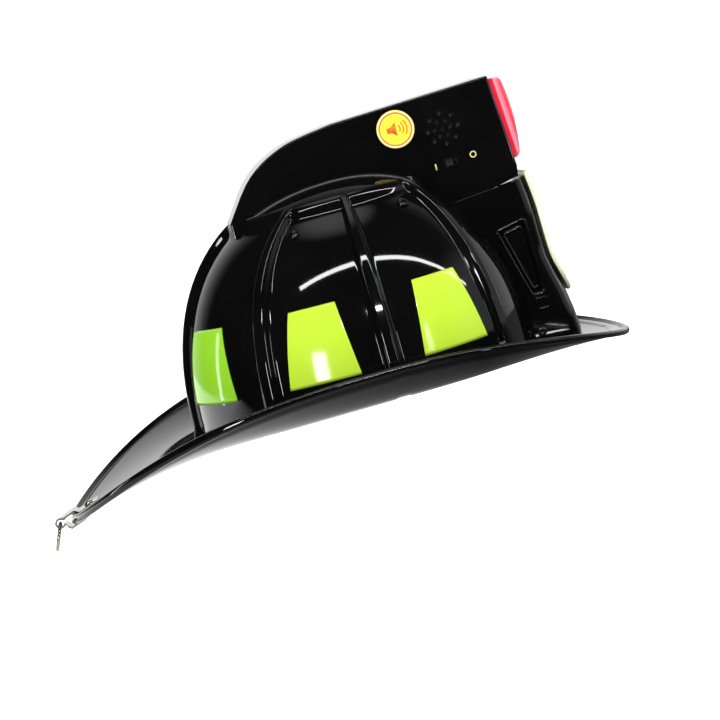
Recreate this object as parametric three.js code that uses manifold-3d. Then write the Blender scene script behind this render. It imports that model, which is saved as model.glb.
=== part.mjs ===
// A youth firefighter helmet with a siren crest, built as separate sub-parts.
// Millimetres. +X is the wearer's front, +Y the wearer's left, +Z up.
// The origin is the centre of the head opening, at the level where the brim leaves the dome.

import * as THREE from 'three';
import { mergeVertices } from 'three/addons/utils/BufferGeometryUtils.js';
import Module from 'manifold-3d';

const wasm = await Module();
wasm.setup();

const GAP = 0.3;                 // clearance between touching pieces
const WALL = 2.2;                // moulded plastic wall
const DEG = Math.PI / 180;

// dome: a superellipse, longer behind than in front, with ribs and sunk panels between them
const DOME = { front: 101, rear: 118, side: 98, height: 133, power: 2.36 };
const RIBS = 8;
const PANEL_SINK = 4.5;
const PANEL_TOP = 116;
const RIB_FLAT = 0.032;          // half width of a rib's crest, as a share of a panel's span
const RIB_FOOT = 0.083;          // half width at the rib's foot
const RIB_BEND = { front: 8 * DEG, rear: 46 * DEG };
const REAR_RIB_TURN = 1.5 * DEG;  // the rear slanting ribs start a little nearer the sides

// brim
const BRIM = {
  front: 148, rear: 203, side: 132, frontPowers: [2.3, 2.3], rearPowers: [3.2, 1.61],
  edgeHeight: 22, frontDrop: 25.6, rearDrop: 49, frontFall: 1.852, rearFall: 2.77,
};
const BEAD = { wide: 3, mid: 1.4, rise: 1.1, tailRise: 2.4 };  // the rolled edge
const ROOT = { side: 3, rear: -3, front: 0 };

// crest: a housing along the crown that widens to the front
const CREST = { back: -66, front: 101.2, top: 162.4, backHalf: 24, flare: 0.0578, lip: 108, lean: 4 };
const LENS = {
  half: 29, low: 111.5, high: 160.2, foot: 6.5, middle: 10.5, head: 9.7, bow: 2.5, round: 3, thick: 1.8,
};

// things in the crest walls, by their place along X and their height
const BUTTON = { x: 41.7, z: 146.1, radius: 11, travel: 1.5 };
const SPEAKER = { x: 68.5, z: 139.2, radius: 12, depth: 5 };
const SWITCH = { x: 69.5, z: 119.4, slot: 9, high: 4.4, travel: 4 };
const CELL = { radius: 5.8, length: 5.4, count: 3 };
const DOOR = { low: -9.5, high: 28, bottom: 138, top: 154 };

// front bracket and shield
const BRACKET = { half: 33.4, top: 95.2, bulge: 6 };
const SHIELD = { half: 27, low: 26, high: 103, thick: 2 };

// suspension
const BAND = { front: 86, side: 74, straight: 50, low: 6, high: 30, thick: 1.6 };
const NAPE = { arm: 22, rear: 44, travel: 12 };
const STRAP = { angle: 62 * DEG, width: 15, thick: 1.4 };
const RIVET = { frontX: 31.5, frontY: 54.5, rearX: -33, rearY: 57.5, radius: 3.4 };
const BRACKET_SCREW = { x: 94.3, z: 9 };
const SHIELD_SCREWS = [36, 92];  // heights

// tail hanger
const TAIL = { hole: -189, slope: 19 * DEG, width: 18, eye: [21, 1.6], eyeRadius: 2.1 };
const RING = { radius: 8, wire: 1.1, lean: 22 * DEG };

const group = new THREE.Group();

// ---------- helpers ----------

function paint(color, roughness, metalness = 0) {
  return new THREE.MeshStandardMaterial({ color, roughness, metalness });
}

const blackGloss = () => paint(0x0c0c0e, 0.12);
const greyPlastic = () => paint(0x2b2c2f, 0.5);
const steel = () => paint(0xb9bbbd, 0.28, 1);
const webbing = () => paint(0x1b1b1d, 0.9);

function addPart(name, geometry, material) {
  const mesh = new THREE.Mesh(geometry, material);
  mesh.name = name;
  group.add(mesh);
  return mesh;
}

// a closed geometry as a solid that can be joined and cut
function solid(geometry) {
  const plain = geometry.clone();
  plain.deleteAttribute('normal');
  plain.deleteAttribute('uv');
  const merged = mergeVertices(plain, 1e-4);
  return new wasm.Manifold(new wasm.Mesh({
    numProp: 3,
    vertProperties: new Float32Array(merged.attributes.position.array),
    triVerts: new Uint32Array(merged.index.array),
  }));
}

function geometryOf(manifold) {
  const mesh = manifold.getMesh();
  const geometry = new THREE.BufferGeometry();
  geometry.setAttribute('position', new THREE.BufferAttribute(mesh.vertProperties, 3));
  geometry.setIndex(new THREE.BufferAttribute(mesh.triVerts, 1));
  return geometry;
}

function cut(geometry, ...tools) {
  let body = solid(geometry);
  for (const tool of tools) body = body.subtract(solid(tool));
  return geometryOf(body);
}

function join(...pieces) {
  let body = solid(pieces[0]);
  for (const piece of pieces.slice(1)) body = body.add(solid(piece));
  return geometryOf(body);
}

function common(first, second) {
  return geometryOf(solid(first).intersect(solid(second)));
}

// a closed skin over a row of rings; the first and last rings are closed by a fan
function skin(rings) {
  const count = rings[0].length;
  const points = [];
  const faces = [];
  for (const ring of rings) for (const p of ring) points.push(p.x, p.y, p.z);
  for (let r = 0; r + 1 < rings.length; r += 1) {
    for (let c = 0; c < count; c += 1) {
      const a = r * count + c;
      const b = r * count + ((c + 1) % count);
      faces.push(a, b, b + count, a, b + count, a + count);
    }
  }
  for (const [r, flip] of [[0, true], [rings.length - 1, false]]) {
    const middle = new THREE.Vector3();
    for (const p of rings[r]) middle.addScaledVector(p, 1 / count);
    points.push(middle.x, middle.y, middle.z);
    const hub = points.length / 3 - 1;
    for (let c = 0; c < count; c += 1) {
      const a = r * count + c;
      const b = r * count + ((c + 1) % count);
      faces.push(hub, flip ? b : a, flip ? a : b);
    }
  }
  const geometry = new THREE.BufferGeometry();
  geometry.setAttribute('position', new THREE.Float32BufferAttribute(points, 3));
  geometry.setIndex(faces);
  return facingOut(mergeVertices(geometry, 1e-3));
}

// drops faces that have shrunk to nothing and turns the skin right side out
function facingOut(geometry) {
  const index = geometry.index.array;
  const p = geometry.attributes.position;
  const kept = [];
  let volume = 0;
  const corner = [new THREE.Vector3(), new THREE.Vector3(), new THREE.Vector3()];
  for (let i = 0; i < index.length; i += 3) {
    const [a, b, c] = [index[i], index[i + 1], index[i + 2]];
    if (a === b || b === c || a === c) continue;
    kept.push(a, b, c);
    corner[0].fromBufferAttribute(p, a);
    corner[1].fromBufferAttribute(p, b);
    corner[2].fromBufferAttribute(p, c);
    volume += corner[0].dot(corner[1].cross(corner[2]));
  }
  if (volume < 0) kept.reverse();
  geometry.setIndex(kept);
  return geometry;
}

function box(x0, x1, y0, y1, z0, z1) {
  const geometry = new THREE.BoxGeometry(x1 - x0, y1 - y0, z1 - z0);
  return geometry.translate((x0 + x1) / 2, (y0 + y1) / 2, (z0 + z1) / 2);
}

// a cylinder from one point to another
function rod(from, to, radius, sides = 16, endRadius = radius) {
  const line = new THREE.Vector3().subVectors(to, from);
  const geometry = new THREE.CylinderGeometry(endRadius, radius, line.length(), sides);
  geometry.translate(0, line.length() / 2, 0);
  const turn = new THREE.Quaternion().setFromUnitVectors(new THREE.Vector3(0, 1, 0), line.normalize());
  return geometry.applyQuaternion(turn).translate(from.x, from.y, from.z);
}

// a closed body turned about the Y axis from [radius, y] pairs
function turned(profile, sides) {
  const geometry = new THREE.LatheGeometry(profile.map(([r, y]) => new THREE.Vector2(r, y)), sides);
  geometry.deleteAttribute('normal');
  geometry.deleteAttribute('uv');
  return facingOut(mergeVertices(geometry, 1e-4));
}

function lathedAlongX(profile, sides, x, y, z) {
  return turned(profile, sides).rotateZ(-Math.PI / 2).translate(x, y, z);
}

// an outline given as [x, z] pairs, extruded from y0 to y1
function sideExtrude(points, y0, y1) {
  const shape = new THREE.Shape(points.map(([x, z]) => new THREE.Vector2(x, z)));
  const geometry = new THREE.ExtrudeGeometry(shape, { depth: y1 - y0, bevelEnabled: false });
  return geometry.rotateX(Math.PI / 2).translate(0, y1, 0);
}

// an outline given as [x, y] pairs, extruded from z0 to z1
function planExtrude(points, z0, z1) {
  const shape = new THREE.Shape(points.map(([x, y]) => new THREE.Vector2(x, y)));
  const geometry = new THREE.ExtrudeGeometry(shape, { depth: z1 - z0, bevelEnabled: false });
  return geometry.translate(0, 0, z0);
}

// the outline of a strip of even thickness along a plane path of [a, b] pairs
function strip(path, thick) {
  const left = [];
  const right = [];
  path.forEach(([a, b], i) => {
    const [pa, pb] = path[Math.max(i - 1, 0)];
    const [na, nb] = path[Math.min(i + 1, path.length - 1)];
    const length = Math.hypot(na - pa, nb - pb);
    const shift = [-(nb - pb) / length * thick / 2, (na - pa) / length * thick / 2];
    left.push([a + shift[0], b + shift[1]]);
    right.unshift([a - shift[0], b - shift[1]]);
  });
  return [...left, ...right];
}

function arc(cx, cy, rx, ry, from, to, steps) {
  return Array.from({ length: steps + 1 }, (_, i) => {
    const angle = from + ((to - from) * i) / steps;
    return [cx + rx * Math.cos(angle), cy + ry * Math.sin(angle)];
  });
}

function smooth(low, high, value) {
  return THREE.MathUtils.smoothstep(value, low, high);
}

// ---------- dome and brim surfaces ----------

function domeRadius(angle, offset) {
  const half = (Math.cos(angle) >= 0 ? DOME.front : DOME.rear) + offset;
  return 1 / Math.hypot(Math.cos(angle) / half, Math.sin(angle) / (DOME.side + offset));
}

// the slanting ribs bend towards the side as they climb
function ribAngle(rib, rho) {
  const place = rib % RIBS;
  const base = rib * (360 / RIBS) * DEG;
  if (place % 2 === 0) return base;
  const ahead = place === 1 || place === 7;
  const towardsSide = place === 1 || place === 5 ? 1 : -1;
  const bend = ahead ? RIB_BEND.front : RIB_BEND.rear;
  const turn = ahead ? 0 : REAR_RIB_TURN;
  return base + towardsSide * (turn + bend * (1 - rho) ** 2);
}

function columnAngle(column, rho) {
  const rib = Math.floor(column);
  return THREE.MathUtils.lerp(ribAngle(rib, rho), ribAngle(rib + 1, rho), column - rib);
}

function panelDepth(column, z) {
  const share = column - Math.floor(column);
  const fromRib = Math.min(share, 1 - share);
  return PANEL_SINK * smooth(RIB_FLAT, RIB_FOOT, fromRib) * (1 - smooth(PANEL_TOP - 3, PANEL_TOP + 2, z));
}

// a point of the dome: column counts ribs round from the front, tilt runs from the crown to the brim
function domePoint(column, tilt, offset = 0) {
  const rho = Math.sin(tilt) ** (2 / DOME.power);
  const rise = Math.max(Math.cos(tilt), 0) ** (2 / DOME.power);
  const angle = columnAngle(column, rho);
  const radius = domeRadius(angle, offset);
  const across = rho ** (DOME.power - 1) / radius;
  const up = rise ** (DOME.power - 1) / DOME.height;
  const sink = panelDepth(column, DOME.height * rise) / Math.hypot(across, up);
  const r = rho * radius - sink * across;
  const z = (DOME.height + offset) * rise - sink * up;
  return new THREE.Vector3(r * Math.cos(angle), r * Math.sin(angle), z);
}

function rootHeight(angle) {
  const end = Math.cos(angle) > 0 ? ROOT.front : ROOT.rear;
  return THREE.MathUtils.lerp(end, ROOT.side, Math.sin(angle) ** 2);
}

// the brim's outline, found along a ray by halving
function edgeRadius(angle) {
  const ahead = Math.cos(angle) > 0;
  const [half, p, q] = ahead ? [BRIM.front, ...BRIM.frontPowers] : [BRIM.rear, ...BRIM.rearPowers];
  let low = 90;
  let high = BRIM.rear + 1;
  for (let i = 0; i < 30; i += 1) {
    const r = (low + high) / 2;
    const forward = Math.abs(r * Math.cos(angle) / half) ** p;
    const sideways = Math.abs(r * Math.sin(angle) / BRIM.side) ** q;
    if (forward + sideways < 1) low = r;
    else high = r;
  }
  return low;
}

function edgeHeight(x) {
  if (x > 0) return BRIM.edgeHeight - BRIM.frontDrop * (x / BRIM.front) ** BRIM.frontFall;
  return BRIM.edgeHeight - BRIM.rearDrop * (-x / BRIM.rear) ** BRIM.rearFall;
}

// height of the brim's top surface at a share of the way from the dome to the edge
function brimHeight(angle, share) {
  const sweep = THREE.MathUtils.lerp(1.3, 1.6, Math.sin(angle) ** 2);
  const edge = edgeHeight(edgeRadius(angle) * Math.cos(angle));
  return THREE.MathUtils.lerp(rootHeight(angle), edge, share ** sweep);
}

// the rolled edge stands higher round the tail
function beadRise(x) {
  return THREE.MathUtils.lerp(BEAD.rise, BEAD.tailRise, smooth(50, 120, -x));
}

function brimPoint(column, share, outward, lift) {
  const angle = columnAngle(column, 1);
  const root = domeRadius(angle, -PANEL_SINK);
  const r = THREE.MathUtils.lerp(root, edgeRadius(angle), share) + outward;
  return new THREE.Vector3(r * Math.cos(angle), r * Math.sin(angle), brimHeight(angle, share) + lift);
}

function brimTopAt(x, y) {
  const angle = Math.atan2(y, x);
  const root = domeRadius(angle, -PANEL_SINK);
  const share = THREE.MathUtils.clamp((Math.hypot(x, y) - root) / (edgeRadius(angle) - root), 0, 1);
  return brimHeight(angle, share);
}

const COLUMNS = [];
const SHARES = [0, RIB_FLAT, RIB_FOOT, 0.36, 0.64, 1 - RIB_FOOT, 1 - RIB_FLAT];
for (let rib = 0; rib < RIBS; rib += 1) COLUMNS.push(...SHARES.map((share) => rib + share));
const TILTS = [11, 21, 29.7, 34.4, 45, 57, 69, 80].map((tilt) => tilt * DEG);

function domeRings(offset) {
  return TILTS.map((tilt) => COLUMNS.map((column) => domePoint(column, tilt, offset)));
}

function apexRing(offset) {
  return COLUMNS.map(() => new THREE.Vector3(0, 0, DOME.height + offset));
}

// the dome filled in and grown a little, to cut away what would run into it
function domeBlank(offset) {
  const foot = (outward, lift) => COLUMNS.map((column) => brimPoint(column, 0, outward + offset, lift));
  return skin([apexRing(offset), ...domeRings(offset), foot(0.6, 2 + offset), foot(3, 0), foot(3, -30)]);
}

const blank = domeBlank(GAP);

// ---------- shell ----------

function rivetSpot(x, y, offset) {
  // the dome at a place in plan, found by walking down its columns
  const angle = Math.atan2(y, x);
  const target = Math.hypot(x, y);
  let best = new THREE.Vector3();
  for (let i = 0; i <= 400; i += 1) {
    const tilt = 20 * DEG + (i / 400) * 60 * DEG;
    const rho = Math.sin(tilt) ** (2 / DOME.power);
    let low = 0;
    let high = RIBS;
    for (let k = 0; k < 30; k += 1) {
      const middle = (low + high) / 2;
      if (columnAngle(middle, rho) < (angle + 2 * Math.PI) % (2 * Math.PI)) low = middle;
      else high = middle;
    }
    const p = domePoint(low, tilt, offset);
    if (Math.abs(Math.hypot(p.x, p.y) - target) < Math.abs(Math.hypot(best.x, best.y) - target)) best = p;
  }
  return best;
}

const strapRivets = [[1, 1], [1, -1], [-1, 1], [-1, -1]].map(([ahead, side]) => {
  const [x, y] = ahead > 0 ? [RIVET.frontX, RIVET.frontY] : [RIVET.rearX, RIVET.rearY];
  const outside = rivetSpot(x, y * side, 0);
  const size = new THREE.Vector3(DOME.rear, DOME.side, DOME.height);
  return { outside, inward: outside.clone().divide(size).divide(size).normalize().negate() };
});

const along = (from, direction, distance) => from.clone().addScaledVector(direction, distance);

const mountScrews = [[38, 13], [38, -13], [-38, 13], [-38, -13]];
const HOLE = 1.8;                // clearance hole for a rivet or screw

function upright(x, y, z0, z1, radius) {
  return rod(new THREE.Vector3(x, y, z0), new THREE.Vector3(x, y, z1), radius, 10);
}

function tailFrame(distance, lift) {
  // a point beside the tail rivet, along and across the tail's slope
  const z = brimTopAt(TAIL.hole, 0);
  const x = TAIL.hole - distance * Math.cos(TAIL.slope) - lift * Math.sin(TAIL.slope);
  return [x, z - distance * Math.sin(TAIL.slope) + lift * Math.cos(TAIL.slope)];
}

function tailPoint(distance, lift) {
  const [x, z] = tailFrame(distance, lift);
  return new THREE.Vector3(x, 0, z);
}

function rivetHoles(depth) {
  return strapRivets.map(({ outside, inward }) => {
    return rod(along(outside, inward, -6), along(outside, inward, depth), HOLE, 10);
  });
}

function makeShell() {
  const ring = (share, outward, lift) => COLUMNS.map((column) => brimPoint(column, share, outward, lift));
  const rise = COLUMNS.map((column) => beadRise(brimPoint(column, 1, 0, 0).x));
  const crown = COLUMNS.map((column, i) => brimPoint(column, 1, -BEAD.mid, rise[i]));
  const rings = [
    apexRing(0), ...domeRings(0), ring(0, 0.6, 2), ring(0, 3, 0), ring(0.3, 0, 0), ring(0.6, 0, 0),
    ring(0.84, 0, 0), ring(1, -BEAD.wide, 0), crown, ring(1, 0, 0.2), ring(1, 0, -1.8),
    ring(1, -BEAD.mid, -2.8), ring(1, -BEAD.wide, -WALL), ring(0.84, 0, -WALL), ring(0.6, 0, -WALL),
    ring(0.25, 0, -WALL), ring(0, -WALL, -WALL), ...domeRings(-WALL).reverse(), apexRing(-WALL),
  ];
  const holes = rivetHoles(9);
  for (const [x, y] of mountScrews) holes.push(upright(x, y, 100, 140, HOLE));
  holes.push(rod(tailPoint(0, -8), tailPoint(0, 8), HOLE, 10));
  return cut(skin(rings), ...holes);
}

addPart('shell', makeShell(), blackGloss());

// ---------- crest ----------

const crestHalf = (x) => CREST.backHalf + CREST.flare * (x - CREST.back);
const crestFront = (z) => CREST.front + ((CREST.top - z) * CREST.lean) / (CREST.top - CREST.lip);

// the crest's side outline, drawn in by the wall's thickness for its inside
function crestOutline(inset) {
  const curve = new THREE.SplineCurve([
    [6, 158.9], [-16.8, 155.7], [-28.4, 152.2], [-40.1, 146.4], [-51.7, 136.6], [-65.8, 117.4],
  ].map(([x, z]) => new THREE.Vector2(x, z)));
  const back = curve.getPoints(14).map((p, i) => [p.x + (inset * i) / 14, p.y - inset]);
  const floor = inset > 0 ? 60 : 80;
  return [
    [crestFront(CREST.top) - inset, CREST.top - inset], [53, 160.6 - inset], ...back,
    [CREST.back + inset, floor], [60 - inset, floor], [75 - inset, 88], [77.3 - inset, 95.7 + inset],
    [crestFront(101.5) - 1.5 - inset, 101.2 + inset], [crestFront(CREST.lip) - inset, CREST.lip],
  ];
}

function crestBlock(inset) {
  const far = 125;
  const half = (x) => crestHalf(x) - inset;
  const plan = [[-80, -half(-80)], [far, -half(far)], [far, half(far)], [-80, half(-80)]];
  return common(sideExtrude(crestOutline(inset), -50, 50), planExtrude(plan, 40, 180));
}

const wallTurn = Math.atan(CREST.flare);

// places a piece drawn with its local -Y facing out of the right wall, or +Y out of the left wall
function onWall(geometry, side, x, z) {
  return geometry.rotateZ(side * wallTurn).translate(x, side * crestHalf(x), z);
}

function wallHole(side, x, z, radius, sides = 20) {
  return onWall(rod(new THREE.Vector3(0, -6, 0), new THREE.Vector3(0, 6, 0), radius, sides), side, x, z);
}

function speakerHoles() {
  const holes = [wallHole(-1, SPEAKER.x, SPEAKER.z, 1, 6)];
  for (const [count, radius] of [[6, 4.6], [8, 9]]) {
    for (const [x, z] of arc(SPEAKER.x, SPEAKER.z, radius, radius, 0, 2 * Math.PI, count).slice(1)) {
      holes.push(wallHole(-1, x, z, 1, 6));
    }
  }
  return holes;
}

const jointScrews = [[-42, 136.5], [47, 130.3], [84, 105.2]];
const SCREW_SEAT = 8;

function crestHalfShell(side) {
  const inner = crestBlock(WALL);
  const lensWindow = box(90, 125, -LENS.half - 0.4, LENS.half + 0.4, LENS.low - 0.4, LENS.high + 0.4);
  let body = solid(crestBlock(0)).subtract(solid(inner)).subtract(solid(lensWindow));
  for (const [x, z] of jointScrews) {
    const wall = side * (crestHalf(x) - 1);
    body = body.add(solid(rod(new THREE.Vector3(x, wall, z), new THREE.Vector3(x, side * -2, z), 3.2, 10)));
  }
  for (const [x, y] of mountScrews) {
    if (Math.sign(y) === side) body = body.add(solid(upright(x, y, 110, x > 0 ? 159 : 146, 3.4)));
  }
  const tools = [blank];
  for (const [x, z] of jointScrews) {
    const at = (y) => new THREE.Vector3(x, y, z);
    if (side > 0) tools.push(rod(at(-4), at(40), 1.7, 10), rod(at(SCREW_SEAT), at(45), 3, 12));
    else tools.push(rod(at(-12), at(4), 1.7, 10));
  }
  for (const [x, y] of mountScrews) tools.push(upright(x, y, 100, 140, 1.7));
  if (side < 0) {
    tools.push(wallHole(-1, BUTTON.x, BUTTON.z, BUTTON.radius + 0.4, 28));
    tools.push(onWall(box(-SWITCH.slot / 2, SWITCH.slot / 2, -6, 6, -SWITCH.high / 2, SWITCH.high / 2), -1,
      SWITCH.x, SWITCH.z));
    tools.push(...speakerHoles());
  } else {
    const middle = (DOOR.low + DOOR.high) / 2;
    const span = (DOOR.high - DOOR.low) / 2 + GAP;
    const rise = (DOOR.top - DOOR.bottom) / 2 + GAP;
    tools.push(onWall(box(-span, span, -6, 6, -rise, rise), 1, middle, (DOOR.top + DOOR.bottom) / 2));
  }
  for (const tool of tools) body = body.subtract(solid(tool));
  const seam = side > 0 ? box(-90, 130, GAP / 2, 60, 0, 200) : box(-90, 130, -60, -GAP / 2, 0, 200);
  return geometryOf(body.intersect(solid(seam)));
}

addPart('crest_right_half', crestHalfShell(-1), blackGloss());
addPart('crest_left_half', crestHalfShell(1), blackGloss());

function screw(head, tip, headRadius, headHeight, shankRadius) {
  const direction = new THREE.Vector3().subVectors(tip, head).normalize();
  const seat = along(head, direction, headHeight);
  const cap = rod(head, seat, headRadius, 12);
  return join(cap, rod(along(seat, direction, -0.5), tip, shankRadius, 8));
}

jointScrews.forEach(([x, z], i) => {
  const at = (y) => new THREE.Vector3(x, y, z);
  addPart(`crest_joint_screw_${i + 1}`, screw(at(SCREW_SEAT + 2.3), at(-9), 2.6, 2, 1.35), steel());
});

mountScrews.forEach(([x, y], i) => {
  const under = rivetSpot(x, y, -WALL).z - 1.6;
  const at = (z) => new THREE.Vector3(x, y, z);
  addPart(`crest_mount_screw_${i + 1}`, screw(at(under - 2), at(under + 13), 3, 2, 1.35), steel());
});

// ---------- siren lamp ----------

// how far the lens face stands forward at a place across and up
function lensFront(y, z) {
  const share = (z - LENS.low) / (LENS.high - LENS.low);
  const level = THREE.MathUtils.lerp(LENS.foot, LENS.head, share);
  const swell = LENS.middle - (LENS.foot + LENS.head) / 2;
  return crestFront(z) + level + 4 * swell * share * (1 - share) - LENS.bow * Math.abs(y / LENS.half) ** 2.5;
}

// how far a rounded edge has drawn back at a distance from the edge
function roundedBack(distance) {
  const left = LENS.round - Math.min(distance, LENS.round);
  return LENS.round - Math.sqrt(LENS.round ** 2 - left ** 2);
}

// the lens as a block, drawn in by its wall for its inside
function lensBlock(inset, back) {
  const half = LENS.half - inset;
  const [low, high] = [LENS.low + inset, LENS.high - inset];
  const between = (from, to, share) => THREE.MathUtils.lerp(from, to, share);
  const places = (from, to) => [
    from, from + 0.9, from + LENS.round, between(from, to, 0.35),
    between(from, to, 0.65), to - LENS.round, to - 0.9, to,
  ];
  const rings = places(low, high).map((z) => {
    const face = places(-half, half).map((y) => {
      const drawn = roundedBack(Math.min(z - low, high - z)) + roundedBack(half - Math.abs(y));
      return new THREE.Vector3(lensFront(y, z) - inset - drawn, y, z);
    });
    const behind = crestFront(z) - back;
    return [new THREE.Vector3(behind, -half, z), ...face, new THREE.Vector3(behind, half, z)];
  });
  return skin(rings);
}

function makeLens() {
  const flangeBack = 4.4;
  const flangeFront = WALL + GAP;
  const [low, high] = [LENS.low - 2, LENS.high - 0.8];
  const flange = sideExtrude([
    [crestFront(low) - flangeBack, low], [crestFront(low) - flangeFront, low],
    [crestFront(high) - flangeFront, high], [crestFront(high) - flangeBack, high],
  ], -LENS.half - 1.6, LENS.half + 1.6);
  const open = LENS.half - LENS.thick;
  const light = box(80, 102, -open, open, LENS.low + LENS.thick, LENS.high - LENS.thick);
  return cut(join(lensBlock(0, flangeBack), flange), lensBlock(LENS.thick, 6), light);
}

addPart('siren_lens', makeLens(), paint(0xd0122a, 0.12));

const LAMPS = [-15, 0, 15];
const LAMP = { z: 136, board: 84, plate: 91 };

function makeReflector() {
  const tray = box(LAMP.plate, LAMP.plate + 4.5, -27, 27, 114, 157);
  const hollow = box(LAMP.plate + 1.4, LAMP.plate + 10, -25.6, 25.6, 115.4, 155.6);
  const at = (x, y) => new THREE.Vector3(x, y, LAMP.z);
  const holes = LAMPS.map((y) => rod(at(80, y), at(100, y), 3.1, 12));
  return cut(tray, hollow, ...holes);
}

addPart('lamp_reflector', makeReflector(), paint(0xe8e8ea, 0.3));

LAMPS.forEach((y, i) => {
  const base = LAMP.board + 1.6 + GAP;
  const nose = arc(base + 6, 0, 2.5, 2.5, 0, 90 * DEG, 3).map(([x, r]) => [r, x]);
  const foot = [[2.5, base + 1], [2.9, base + 1], [2.9, base], [0, base]];
  const bulb = lathedAlongX([...nose, ...foot], 10, 0, y, LAMP.z);
  addPart(`led_${i + 1}`, bulb, paint(0xf4a0a8, 0.1));
});

const board = cut(box(LAMP.board, LAMP.board + 1.6, -26, 18, 112, 150),
  rod(new THREE.Vector3(80, -22, 116), new THREE.Vector3(90, -22, 116), 1.6, 10));
addPart('circuit_board', board, paint(0x1d6b3a, 0.5));

// ---------- sound: speaker, switch and push button on the right wall ----------

function roundOnWall(profile, x, z, sides = 24) {
  return onWall(turned(profile, sides), -1, x, z);
}

const inside = WALL + GAP;
addPart('speaker', roundOnWall([
  [0, inside + 1.6], [6, inside + 1.6], [9.5, inside], [SPEAKER.radius - 1, inside],
  [SPEAKER.radius - 1, inside + 1.5], [7, inside + 4], [7, inside + SPEAKER.depth],
  [0, inside + SPEAKER.depth],
], SPEAKER.x, SPEAKER.z), paint(0x55585c, 0.6));
addPart('speaker_ring', roundOnWall([
  [SPEAKER.radius - 1 + GAP, inside], [SPEAKER.radius + 1, inside], [SPEAKER.radius + 1, inside + 3],
  [10.2, inside + 3], [10.2, inside + 2.4], [SPEAKER.radius - 1 + GAP, inside + 1.8],
  [SPEAKER.radius - 1 + GAP, inside],
], SPEAKER.x, SPEAKER.z), greyPlastic());

const press = BUTTON.travel + GAP;
addPart('sound_button', roundOnWall([
  [0, -1], [BUTTON.radius, -1], [BUTTON.radius, WALL + GAP], [BUTTON.radius + 0.9, WALL + GAP],
  [BUTTON.radius + 0.9, WALL + GAP + 1.2], [2.5, WALL + GAP + 1.2], [2, 7.5], [0, 7.5],
], BUTTON.x, BUTTON.z, 28), blackGloss());
addPart('button_label', roundOnWall([[0, -1.7], [BUTTON.radius + 0.1, -1.7], [BUTTON.radius + 0.1, -1 - GAP],
  [0, -1 - GAP]], BUTTON.x, BUTTON.z, 28), paint(0xf3e24a, 0.35));
addPart('tact_switch', onWall(box(-3, 3, 7.5 + press, 11.5 + press, -3, 3), -1, BUTTON.x, BUTTON.z),
  paint(0x202124, 0.5));

function makeSwitchBody() {
  const body = box(-7.5, 7.5, inside, inside + 6, -3.6, 3.6);
  const [half, rise] = [SWITCH.slot / 2, SWITCH.high / 2];
  const track = box(-half, half, inside - 1, inside + 3.4, -rise, rise);
  return onWall(cut(body, track), -1, SWITCH.x, SWITCH.z);
}

addPart('power_switch_body', makeSwitchBody(), greyPlastic());

function makeSlider() {
  const width = SWITCH.slot - SWITCH.travel - 2 * GAP;
  const right = SWITCH.slot / 2 - GAP;
  const high = SWITCH.high / 2 - GAP;
  const knob = box(right - width, right, 0.6, inside + 3.1, -high, high);
  const grip = box(right - width / 2 - 0.5, right - width / 2 + 0.5, 0, 1.2, -high, high);
  return onWall(join(knob, grip), -1, SWITCH.x, SWITCH.z);
}

addPart('power_switch_slider', makeSlider(), paint(0x1a1a1c, 0.4));

// ---------- battery compartment in the left wall ----------

const cellsZ = (DOOR.top + DOOR.bottom) / 2;
const TRAY = { x0: -25, x1: -2, y0: 3, y1: 17, half: 7.3, axis: 9.3 };

// the compartment is drawn with its local -Y facing the door
function inCompartment(geometry) {
  return onWall(geometry.rotateZ(Math.PI), 1, 0, 0);
}

function makeBatteryBox() {
  const { x0, x1, y0, y1 } = TRAY;
  const z0 = cellsZ - TRAY.half;
  const z1 = cellsZ + TRAY.half;
  const tray = box(x0 - 1.5, x1 + 1.5, y0, y1, z0, z1);
  const hollow = box(x0, x1, y0 - 1, y1 - 1.5, z0 + 1, z1 - 1);
  const ear = box(x1 + 1, x1 + 8, y0, y0 + 6, cellsZ - 3, cellsZ + 3);
  const boss = (y) => new THREE.Vector3(x1 + 5, y, cellsZ);
  const hole = rod(boss(y0 - 2), boss(y0 + 9), 1.7, 10);
  return inCompartment(cut(join(tray, ear), hollow, hole));
}

addPart('battery_box', makeBatteryBox(), greyPlastic());

const doorMiddle = (DOOR.low + DOOR.high) / 2;
const doorHalf = (DOOR.high - DOOR.low) / 2;
const doorRise = (DOOR.top - DOOR.bottom) / 2;
const doorScrewX = -(TRAY.x1 + 5) - doorMiddle;
const doorScrewAt = (y) => new THREE.Vector3(doorScrewX, y, 0);

function makeDoor() {
  const plate = box(-doorHalf, doorHalf, -WALL, 0, -doorRise, doorRise);
  const hole = rod(doorScrewAt(-9), doorScrewAt(9), HOLE, 10);
  const seat = rod(doorScrewAt(-0.7), doorScrewAt(3), 3.2, 12);
  const grips = [-1, 0, 1].map((i) => box(doorHalf - 8 + i * 3, doorHalf - 7 + i * 3, -0.5, 1, -6, 6));
  return onWall(cut(plate, hole, seat, ...grips), 1, doorMiddle, cellsZ);
}

addPart('battery_door', makeDoor(), blackGloss());

const doorScrew = screw(doorScrewAt(0.9), doorScrewAt(-7), 2.8, 1.3, 1.35);
addPart('battery_door_screw', onWall(doorScrew, 1, doorMiddle, cellsZ), steel());

for (let i = 0; i < CELL.count; i += 1) {
  const half = CELL.length / 2;
  const x = TRAY.x0 + 5.4 + half + i * (CELL.length + GAP);
  const profile = [
    [0, -half], [CELL.radius - 1, -half], [CELL.radius, 0.8 - half], [CELL.radius, half], [0, half],
  ];
  const cell = lathedAlongX(profile, 16, x, TRAY.axis, cellsZ);
  addPart(`battery_${i + 1}`, inCompartment(cell), paint(0xb0b2b4, 0.3, 1));
}

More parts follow.
